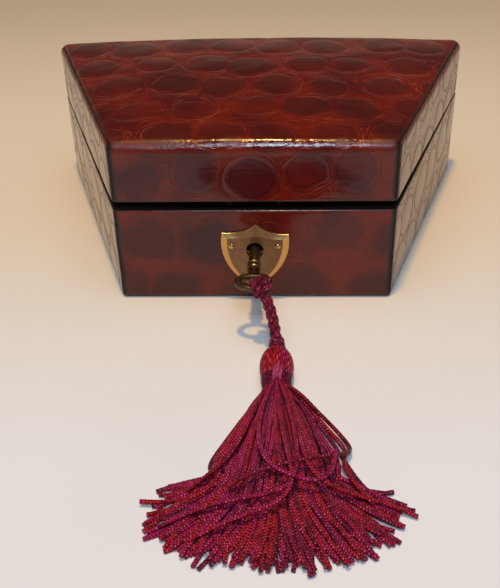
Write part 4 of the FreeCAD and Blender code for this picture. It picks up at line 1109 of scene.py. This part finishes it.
STRAY_STRANDS = (
    ((10.5, 57.0, 7.4), (15.0, 61.0, 8.0), (19.5, 66.5, 6.0), (25.5, 72.0, 3.2), (30.0, 78.0, 1.8), (31.2, 82.0, 2.4),
     (28.5, 86.0, 5.0), (23.0, 90.0, 8.4), (14.8, 93.1, 9.8), (8.9, 95.1, 9.8), (3.0, 96.8, 9.0), (-2.5, 98.4, 7.8),
     (-5.5, 101.0, 6.4)),
    ((11.0, 57.0, 6.4), (15.5, 62.0, 6.6), (20.5, 68.0, 3.8), (25.2, 74.0, 1.8), (28.8, 79.0, 1.2), (29.6, 83.0, 1.4),
     (27.6, 87.5, 3.2), (30.0, 96.0, 4.4), (36.0, 104.0, 3.4)),
    ((11.2, 57.0, 5.4), (16.0, 63.0, 5.2), (21.5, 70.5, 2.6), (26.0, 78.0, 1.0), (29.5, 86.5, 0.9), (32.0, 92.0, 0.9),
     (35.5, 98.5, 1.2), (41.0, 102.5, 1.2), (48.0, 104.2, 0.9)),
    ((7.2, 57.0, 8.4), (5.0, 66.0, 10.8), (2.6, 78.0, 10.8), (3.0, 89.0, 10.2), (6.6, 95.7, 10.2), (11.5, 98.6, 10.0),
     (18.2, 101.0, 9.2), (23.0, 99.0, 8.8), (25.2, 94.0, 8.2), (25.6, 87.0, 7.6)),
    ((5.4, 57.0, 7.4), (2.4, 68.0, 9.4), (-1.0, 79.0, 8.6), (-5.0, 88.5, 7.4), (-9.5, 93.0, 5.6), (-13.5, 95.5, 4.0),
     (-17.5, 98.5, 2.4)),
    ((5.0, 57.0, 6.4), (1.0, 68.0, 7.2), (-4.0, 80.0, 5.8), (-9.0, 90.0, 3.6), (-14.5, 96.6, 1.8), (-23.0, 95.7, 0.8)),
    ((4.8, 57.0, 5.4), (0.5, 69.0, 6.0), (-5.5, 83.0, 4.4), (-11.0, 94.0, 2.4), (-18.0, 99.4, 1.2), (-26.0, 98.7, 0.8)),
    ((9.0, 57.0, 8.6), (11.0, 66.0, 11.0), (13.6, 80.0, 10.6), (15.0, 94.0, 9.4), (12.0, 103.0, 8.2), (3.0, 104.6, 7.2),
     (-8.0, 105.4, 5.6), (-19.0, 108.8, 3.4), (-28.0, 113.5, 1.6)),
    ((8.0, 57.0, 8.6), (8.6, 68.0, 11.2), (10.0, 84.0, 10.6), (13.6, 98.0, 9.2), (11.5, 105.6, 8.2), (5.5, 109.0, 7.4),
     (-1.5, 110.8, 6.0), (-9.0, 113.4, 4.2), (-16.0, 117.0, 2.6)),
    ((10.0, 57.0, 8.2), (13.0, 67.0, 10.6), (15.0, 82.0, 10.0), (17.0, 95.0, 9.0), (23.5, 100.6, 7.0), (32.0, 101.8, 4.2),
     (41.0, 103.0, 2.2), (48.5, 106.5, 1.2)),
)


def stray_strand(points):
    line = [place(*point) for point in points]
    return line, [0.5 * MM] + [STRAND_RADIUS * MM] * (len(line) - 1)


bundles = [(strand_chance.gauss(0, 0.07), strand_chance.gauss(0, 0.7)) for _ in range(SKIRT_BUNDLES)]
skirt_lines = []
for k in range(SKIRT_STRANDS):
    spread = -1 + 2 * (k + 0.5) / SKIRT_STRANDS
    level = (k * 0.618034 + 0.1) % 1.0
    bundle = bundles[(k * SKIRT_BUNDLES // SKIRT_STRANDS + int(level * 3) * 11) % SKIRT_BUNDLES]
    skirt_lines.append((level, skirt_strand(spread, level, bundle)))
skirt_lines.sort(key=lambda item: item[0])
half_count = SKIRT_STRANDS // 2
lower_lines = [line for _, line in skirt_lines[:half_count]]
upper_lines = [line for _, line in skirt_lines[half_count:]] + [stray_strand(points) for points in STRAY_STRANDS]
lower_mesh = yarn_mesh("tassel_skirt_under", lower_lines, silk_yarn, 0.75, 7, seed=12)
upper_mesh = yarn_mesh("tassel_skirt_over", upper_lines, silk_yarn, 0.7, 8, seed=13)
print("skirt faces:", len(lower_mesh.polygons), "under and", len(upper_mesh.polygons), "over")

# %% Hang the tassel on the key
hitch = add_piece("tassel_hitch_turns", hitch_mesh, "key", "tassel_silk", "tassel_loop")
knot = add_piece("tassel_collar_knot", knot_mesh, "case", "tassel_silk", "tassel_collar")
head = add_piece("tassel_head_strands", head_mesh, "case", "tassel_silk", "tassel_head")
binding = add_piece("tassel_binding_thread", bind_mesh, "case", "tassel_silk", "tassel_binding")
tuft = add_piece("tassel_neck_tuft", tuft_mesh, "case", "tassel_silk")
skirt_under = add_piece("tassel_skirt_under", lower_mesh, "case", "tassel_silk", "tassel_skirt")
skirt_over = add_piece("tassel_skirt_over", upper_mesh, "case", "tassel_silk")
cord = bpy.data.objects.new("tassel_cord_plies", cord_mesh)
scene.collection.objects.link(cord)
tuple(place(0.6, 21.5, 27.0))
tuple(place(6.3, 30.4, 15.0))
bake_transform(cord)
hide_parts("tassel_cord")

# %% [markdown]
# The keyhole plate is a small brass shield with a broad polished bevel round a dulled field. Its outline is four arcs.
# A second, smaller shield bounds the field, each loop of the bevel is a share of the way from one to the other, and the
# field is filled between the last loop and the keyhole. A boolean would do as well, but these loops keep the bevel's
# corners crisp.

# %% Shield-shaped keyhole plate
SHIELD_HEIGHT = 22.0
SHIELD_TIP = (0.0, 10.8)
SHIELD_DIP = (6.1, 7.3)
SHIELD_SHOULDER = (12.05, 6.8)
SHIELD_WAIST = (10.6, -5.3)
SHIELD_FOOT = (0.0, -16.4)
SHIELD_TILT = math.radians(-1.8)
SHIELD_STEPS = 20
FIELD_TIP = (0.0, 5.9)
FIELD_DIP = (5.2, 5.4)
FIELD_SHOULDER = (10.1, 5.1)
FIELD_WAIST = (8.5, -5.1)
FIELD_FOOT = (0.0, -14.9)
SHIELD_LOOPS = ((0.0, 0.0), (0.0, 0.45), (0.015, 0.56), (0.05, 0.65), (0.10, 0.71), (0.16, 0.76), (0.93, 1.52),
                (1.0, 1.6), (1.04, 1.58), (1.10, 1.50))


def arc_through(start, middle, end, steps):
    """Points along the circle through three points, without the last."""
    (ax, ay), (bx, by), (cx, cy) = start, middle, end
    scale = 2 * (ax * (by - cy) + bx * (cy - ay) + cx * (ay - by))
    squares = [x * x + y * y for x, y in (start, middle, end)]
    ux = (squares[0] * (by - cy) + squares[1] * (cy - ay) + squares[2] * (ay - by)) / scale
    uy = (squares[0] * (cx - bx) + squares[1] * (ax - cx) + squares[2] * (bx - ax)) / scale
    radius = math.hypot(ax - ux, ay - uy)
    first, last = math.atan2(ay - uy, ax - ux), math.atan2(cy - uy, cx - ux)
    sweep = (last - first + math.pi) % math.tau - math.pi
    angles = [first + sweep * step / steps for step in range(steps)]
    return [(ux + radius * math.cos(angle), uy + radius * math.sin(angle)) for angle in angles]


def shield_outline(tip, dip, shoulder, waist, foot):
    """A closed shield through its corners: a hollow arc to each shoulder and a full one down to the foot."""
    right = arc_through(tip, dip, shoulder, SHIELD_STEPS)
    right += arc_through(shoulder, waist, foot, 2 * SHIELD_STEPS)
    left = [(-x, height) for x, height in reversed(right[1:])]
    turn = np.array(((math.cos(SHIELD_TILT), math.sin(SHIELD_TILT)), (-math.sin(SHIELD_TILT), math.cos(SHIELD_TILT))))
    return np.array(right + [foot] + left) @ turn


def keyhole_loop():
    """A round hole with a slot below it."""
    slot = math.asin(1.2 / 3.2)
    angles = np.linspace(-math.pi / 2 + slot, 1.5 * math.pi - slot, 29)
    ring = [(3.2 * math.cos(angle), 3.2 * math.sin(angle)) for angle in angles]
    return np.array(ring + [(-1.2, -4.7), (1.2, -4.7)])


def shield_mesh():
    outline = shield_outline(SHIELD_TIP, SHIELD_DIP, SHIELD_SHOULDER, SHIELD_WAIST, SHIELD_FOOT)
    inwards = shield_outline(FIELD_TIP, FIELD_DIP, FIELD_SHOULDER, FIELD_WAIST, FIELD_FOOT) - outline
    work = bmesh.new()

    def loop(points, depth):
        return [work.verts.new(place(x, depth, SHIELD_HEIGHT + height)) for x, height in points]

    def band(first, second):
        for k in range(len(first)):
            work.faces.new((first[k - 1], first[k], second[k], second[k - 1]))

    loops = [loop(outline + inwards * share, depth) for share, depth in SHIELD_LOOPS]
    for first, second in zip(loops, loops[1:]):
        band(first, second)
    hole = keyhole_loop()
    hole_front, hole_lip, hole_back = loop(hole * 1.06, 1.5), loop(hole, 1.38), loop(hole, 0.0)
    band(hole_front, hole_lip)
    band(hole_lip, hole_back)
    for first, second in ((loops[-1], hole_front), (loops[0], hole_back)):
        rims = [work.edges.get((ring[k - 1], ring[k])) for ring in (first, second) for k in range(len(ring))]
        bmesh.ops.triangle_fill(work, use_beauty=True, edges=[edge for edge in rims if edge])
    bmesh.ops.recalc_face_normals(work, faces=work.faces)
    mesh = bpy.data.meshes.new("keyhole_shield")
    work.to_mesh(mesh)
    work.free()
    mesh.shade_smooth()
    mesh.set_sharp_from_angle(angle=math.radians(28))
    return mesh


def brass_finish(name, bright, dull, dulled, rough, film_and_painted_top_reflection=False):
    """Worn brass: bright metal with a brown film in patches, and fine polishing scratches. The film may lie on the
    flat front alone, and then the bevel's upward-facing stretch is painted dull too, a painted dim reflection of the
    room."""
    material, tree, shader = new_finish(name, Metallic=1.0)
    where = object_place(tree)
    film = noise(tree, where, 420.0, 4.0).step(0.30, 0.72)
    specks = noise(tree, where, 2600.0, 2.0)
    x, y, z = split(where)
    scratch = noise(tree, join(tree, x * 900.0, y * 900.0, (z + x * 0.4) * 5200.0), 1.0, 2.0)
    share = (film * 0.55 + dulled).maths("MINIMUM", 1.0)
    if film_and_painted_top_reflection:
        _, facing, rising = split(add_node(tree, "ShaderNodeNewGeometry", output="Normal"))
        flat = facing.step(-0.90, -0.985)
        # Painted reflection: upward-facing stretches of the bevel are painted dull, standing for the dim room they
        # mirror.
        upper = rising.step(0.12, 0.24) * rising.step(0.62, 0.50)
        share = (flat.maths("MAXIMUM", upper * 0.75) * 0.86 + film * 0.16).maths("MINIMUM", 1.0)
    colour = mix(tree, share, bright, dull)
    set_shader(tree, shader, Base_Color=colour, Roughness=rough + 0.22 * share + 0.12 * (specks - 0.5),
               Normal=bump(tree, scratch * 0.5 + specks * 0.5, 0.02 * MM, 0.6))
    return material


shield_brass = brass_finish("shield_brass_finish", srgb(213, 165, 101), srgb(140, 105, 79), 0.0, 0.27, True)
shield = shield_mesh()
shield.materials.append(shield_brass)
add_piece("keyhole_shield", shield, "case", "brass", "keyhole_plate")
print("shield has", len(shield.polygons), "faces")

# %% [markdown]
# Metal parts that keep their imported shape get finishes of their own: pins as bright as the shield's bevel, hinges and
# lock in browned brass and filed steel, the lock's brass darkened further as painted shade in the gap under the lid,
# and the key in dark iron rubbed bright where fingers and the lock touch it.

# %% Metal finishes


def key_finish():
    """Aged iron, brown-black, rubbed on the turned rings and along the bow."""
    material, tree, shader = new_finish("aged_iron_finish", Metallic=1.0)
    where = object_place(tree)
    x, y, z = split(where)
    rust = noise(tree, where, 500.0, 4.0)
    fine = noise(tree, where, 2400.0, 3.0)
    radius = (x * x + (z - SHIELD_HEIGHT * MM) * (z - SHIELD_HEIGHT * MM)).maths("SQRT") / MM
    on_shank = (y / MM).step(-67.5, -66.0)
    rubbed = radius.step(2.45, 2.72) * on_shank * (0.45 + 0.55 * fine.step(0.35, 0.6))
    colour = mix(tree, rust.step(0.35, 0.65), srgb(82, 66, 50), srgb(112, 90, 66))
    colour = mix(tree, rubbed, colour, srgb(186, 164, 122))
    set_shader(tree, shader, Base_Color=colour, Roughness=0.46 - 0.2 * rubbed + 0.2 * (fine - 0.5),
               Normal=bump(tree, fine * 0.6 + rust, 0.05 * MM, 0.5))
    return material


def steel_finish():
    """Filed steel with long fine marks."""
    material, tree, shader = new_finish("lock_steel_finish", Metallic=1.0)
    x, y, z = split(object_place(tree))
    marks = noise(tree, join(tree, x * 300.0, y * 6000.0, z * 6000.0), 1.0, 3.0)
    colour = mix(tree, marks, srgb(118, 112, 104), srgb(170, 164, 154))
    set_shader(tree, shader, Base_Color=colour, Roughness=0.30 + 0.2 * marks, Normal=bump(tree, marks, 0.02 * MM, 0.5))
    return material


def dress(material, *nodes):
    """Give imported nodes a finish."""
    for node in nodes:
        for slot in frame["nodes"][node].material_slots:
            slot.material = material


pin_brass = brass_finish("pin_brass_finish", srgb(232, 190, 110), srgb(150, 112, 70), 0.0, 0.16)
hinge_brass = brass_finish("hinge_brass_finish", srgb(190, 146, 78), srgb(88, 64, 40), 0.35, 0.30)
# The lock's brass is browned and darkened further as painted shade, so that it reads dark in the gap under the lid.
lock_brass_browned_and_shaded = brass_finish("lock_brass_finish", srgb(96, 74, 44), srgb(38, 28, 20), 0.55, 0.42)
dress(pin_brass, "keyhole_plate_pins")
dress(hinge_brass, "hinge_base_leaf_left", "hinge_base_leaf_right", "hinge_lid_leaf_left", "hinge_lid_leaf_right",
      "hinge_pin_left", "hinge_pin_right", "hinge_base_screws", "hinge_lid_screws")
dress(lock_brass_browned_and_shaded, "lock_plate", "lock_screws", "link_plate", "link_screws")
dress(steel_finish(), "lock_cap", "lock_bolt", "lock_post", "lock_spring")
dress(key_finish(), "key")
print("metals dressed")

# %% [markdown]
# Inside, boards carry the leather, and the base is lined with velvet and the lid with silk. The lining boards and the
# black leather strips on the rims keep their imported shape, but a copy with its edges eased catches the light as a covered
# board does. The copy is merged first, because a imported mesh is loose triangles.

# %% Boards, rims and linings


def board_finish():
    """Softwood with faint grain along its length."""
    material, tree, shader = new_finish("board_finish", Roughness=0.7)
    x, y, z = split(object_place(tree))
    grain = noise(tree, join(tree, x * 60.0, y * 900.0, z * 900.0), 1.0, 4.0)
    set_shader(tree, shader, Base_Color=mix(tree, grain.step(0.3, 0.7), srgb(150, 116, 78), srgb(186, 150, 104)),
               Normal=bump(tree, grain, 0.05 * MM, 0.4))
    return material


def rim_finish():
    """Thin black leather, polished by the lid."""
    material, tree, shader = new_finish("rim_leather_finish", Coat_Weight=0.35, Coat_Roughness=0.2)
    where = object_place(tree)
    grain = add_node(tree, "ShaderNodeTexVoronoi", {"Vector": where, "Scale": 1400.0})
    tone = noise(tree, where, 180.0, 3.0)
    set_shader(tree, shader, Base_Color=mix(tree, tone, srgb(20, 14, 13), srgb(38, 26, 22)), Roughness=0.4 + 0.2 * grain,
               Normal=bump(tree, grain, 0.06 * MM, 0.5))
    return material


def velvet_finish():
    """Deep red velvet: short pile with brushed patches and a pale edge where it is seen along the surface."""
    material, tree, shader = new_finish("velvet_finish", Sheen_Weight=0.8, Sheen_Roughness=0.35, Specular_IOR_Level=0.1)
    fill_socket(tree, shader.inputs["Sheen Tint"], srgb(214, 96, 96))
    where = object_place(tree)
    pile = noise(tree, where, 5200.0, 2.0)
    brushed = noise(tree, where, 70.0, 3.0)
    colour = mix(tree, brushed.step(0.35, 0.7), srgb(84, 10, 20), srgb(116, 18, 30))
    set_shader(tree, shader, Base_Color=mix(tree, pile.step(0.4, 0.7) * 0.5, colour, srgb(58, 5, 12)), Roughness=0.9 - 0.2 * pile,
               Normal=bump(tree, pile, 0.25 * MM, 0.6))
    return material


def lid_silk_finish():
    """Red satin with fine threads across it, painted darker along the sunken quilting lines as painted shade."""
    material, tree, shader = new_finish("lid_silk_finish", Sheen_Weight=0.15, Specular_IOR_Level=0.35)
    x, y, z = split(object_place(tree))
    warp = (x * (math.tau / (0.32 * MM))).maths("SINE") * 0.5 + 0.5
    weft = (y * (math.tau / (0.40 * MM))).maths("SINE") * 0.5 + 0.5
    slub = noise(tree, join(tree, x * 50.0, y * 1500.0, z * 50.0), 1.0, 3.0)
    colour = mix(tree, slub.step(0.35, 0.7), srgb(138, 24, 34), srgb(164, 36, 44))
    # Painted shade: the satin is darkened where the quilting sinks in.
    painted_quilt_shade = attribute(tree, "quilt", "Fac")
    colour = mix(tree, painted_quilt_shade.step(0.3, 0.95) * 0.75, colour, srgb(74, 8, 18))
    set_shader(tree, shader, Base_Color=colour, Roughness=0.30 + 0.14 * slub + 0.08 * weft,
               Normal=bump(tree, warp * 0.5 + weft * 0.5 + slub, 0.04 * MM, 0.5))
    return material


def eased_copy(node, width):
    """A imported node's mesh, merged, with its flat faces whole again and its edges eased."""
    work = bmesh.new()
    work.from_mesh(frame["nodes"][node].data)
    bmesh.ops.remove_doubles(work, verts=work.verts, dist=1e-6)
    bmesh.ops.dissolve_limit(work, angle_limit=math.radians(1.0), verts=work.verts, edges=work.edges)
    sharp = [edge for edge in work.edges if len(edge.link_faces) == 2 and edge.calc_face_angle(0.0) > math.radians(30)]
    bmesh.ops.bevel(work, geom=sharp, offset=width, segments=3, profile=0.6, affect="EDGES", clamp_overlap=True)
    bmesh.ops.triangulate(work, faces=work.faces)
    mesh = bpy.data.meshes.new(node + "_eased")
    work.to_mesh(mesh)
    work.free()
    mesh.shade_smooth()
    mesh.set_sharp_from_angle(angle=math.radians(40))
    return mesh


velvet = velvet_finish()
lid_silk = lid_silk_finish()
rim_leather = rim_finish()
dress(velvet, "base_board")
dress(lid_silk, "lid_board")
dress(board_finish(), *[part + "_" + side + "_wall" for part in ("base", "lid")
                        for side in ("front", "rear", "left", "right")])
dress(rim_leather, "base_bottom_cover")
eased = [("base_rim_facing", "case", "rim_leather", rim_leather, 0.22), ("lid_rim_facing", "lid", "rim_leather", rim_leather, 0.22)]
for side in ("front", "rear", "left", "right"):
    eased.append(("base_lining_" + side, "case", "velvet", velvet, 0.55))
    eased.append(("lid_lining_" + side, "lid", "lid_silk", lid_silk, 0.25))
for node, body, slot, material, width in eased:
    mesh = eased_copy(node, width * MM)
    mesh.materials.clear()
    mesh.materials.append(material)
    add_piece(node + "_eased", mesh, body, slot, node)
print(len(eased), "boards and strips eased")

# %% [markdown]
# The pads: a velvet cushion lies in the base and a silk one is fixed in the lid. Cloth under a little pressure swells from
# a slab that starts smaller than its place, which rounds its edges and draws its sides in as a stuffed pad does. The
# distance that any point moves is capped, so that the pad stays clear of the boards. The lid's pad is quilted afterwards.

# %% Pads
PAD_VOXEL = 1.6 * MM
PAD_PRESSURE = 5.0
PAD_FRAMES = 16
PAD_CAP = 1.2 * MM
PAD_SWELL = 0.8 * MM
PAD_MARGIN = 0.5 * MM


def slab(half_depth, inset, low, high):
    """A splayed slab, drawn in by a margin on every side."""
    work = bmesh.new()
    corners = []
    for y in (-half_depth + PAD_MARGIN, half_depth - PAD_MARGIN):
        reach = half_width(y, inset + PAD_MARGIN)
        corners += [(-reach, y), (reach, y)]
    order = (corners[0], corners[1], corners[3], corners[2])
    loops = [[work.verts.new((x, y, z)) for x, y in order] for z in (low + PAD_SWELL, high - PAD_SWELL)]
    work.faces.new(loops[0])
    work.faces.new(loops[1])
    for k in range(4):
        work.faces.new((loops[0][k - 1], loops[0][k], loops[1][k], loops[1][k - 1]))
    bmesh.ops.recalc_face_normals(work, faces=work.faces)
    mesh = bpy.data.meshes.new("slab")
    work.to_mesh(mesh)
    work.free()
    return mesh


def applied(holder):
    graph = bpy.context.evaluated_depsgraph_get()
    return bpy.data.meshes.new_from_object(holder.evaluated_get(graph), depsgraph=graph)


def coordinates(mesh):
    values = np.empty(len(mesh.vertices) * 3)
    mesh.vertices.foreach_get("co", values)
    return values.reshape(-1, 3)


def swollen(name, half_depth, inset, low, high):
    """A slab blown up a little as cloth, with every point's move capped, pressed against the linings round it and then
    smoothed by one subdivision."""
    holder = bpy.data.objects.new(name + "_draft", slab(half_depth, inset, low, high))
    scene.collection.objects.link(holder)
    even = holder.modifiers.new("even", "REMESH")
    even.mode = "VOXEL"
    even.voxel_size = PAD_VOXEL
    holder.data = applied(holder)
    holder.modifiers.clear()
    start = coordinates(holder.data)
    cloth = holder.modifiers.new("cloth", "CLOTH")
    cloth.settings.use_pressure = True
    cloth.settings.uniform_pressure_force = PAD_PRESSURE
    cloth.settings.effector_weights.gravity = 0
    cloth.point_cache.frame_end = PAD_FRAMES
    for step in range(1, PAD_FRAMES + 1):
        scene.frame_set(step)
    moved = coordinates(applied(holder)) - start
    length = np.linalg.norm(moved, axis=1, keepdims=True)
    moved *= np.minimum(1, PAD_CAP / np.maximum(length, 1e-9))
    print(name, "swells by", round(float(length.max()) / MM, 2), "mm before the cap")
    holder.modifiers.clear()
    scene.frame_set(1)
    start += moved
    start[:, 1] = np.clip(start[:, 1], -half_depth, half_depth)
    reach = half_width(start[:, 1], inset)
    start[:, 0] = np.clip(start[:, 0], -reach, reach)
    start[:, 2] = np.clip(start[:, 2], low, high)
    holder.data.vertices.foreach_set("co", start.ravel())
    finer = holder.modifiers.new("finer", "SUBSURF")
    finer.levels = 1
    finer.render_levels = 1
    result = applied(holder)
    bpy.data.objects.remove(holder)
    result.name = name
    result.shade_smooth()
    return result


QUILT_PITCH = 17.0 * MM
QUILT_DEPTH = 2.1 * MM
QUILT_REACH = 2.3 * MM


def quilted(mesh, low):
    """Sew diamonds into the lower face of the lid's pad."""
    points = coordinates(mesh)
    under = np.clip((low + 3.0 * MM - points[:, 2]) / (2.0 * MM), 0, 1)
    press = np.zeros(len(points))
    for slant in (1, -1):
        across = (points[:, 0] + slant * points[:, 1]) / math.sqrt(2) / QUILT_PITCH
        press = np.maximum(press, np.exp(-np.abs(across - np.round(across)) * QUILT_PITCH / QUILT_REACH))
    points[:, 2] += QUILT_DEPTH * press * under
    mesh.vertices.foreach_set("co", points.ravel())
    mesh.attributes.new("quilt", "FLOAT", "POINT").data.foreach_set("value", (press * under).astype("f"))


def leaned(mesh):
    """Turn a level mesh with the lid, which rests a hair open."""
    mesh.transform(Matrix.Translation(HINGE) @ Matrix.Rotation(-LID_AJAR, 4, "X") @ Matrix.Translation(-HINGE))


base_pad_mesh = swollen("base_pad_cushion", 39.3 * MM, 9.2 * MM, 4.8 * MM, 10.8 * MM)
base_pad_mesh.materials.append(velvet)
base_pad = add_piece("base_pad_cushion", base_pad_mesh, "case", "velvet", "base_pad")
lid_pad_mesh = swollen("lid_pad_cushion", 41.8 * MM, 6.7 * MM, 50.9 * MM, 55.9 * MM)
quilted(lid_pad_mesh, 50.9 * MM)
leaned(lid_pad_mesh)
lid_pad_mesh.materials.append(lid_silk)
lid_pad = add_piece("lid_pad_cushion", lid_pad_mesh, "lid", "lid_silk", "lid_pad")
print("pads of", len(base_pad_mesh.polygons), "and", len(lid_pad_mesh.polygons), "faces")
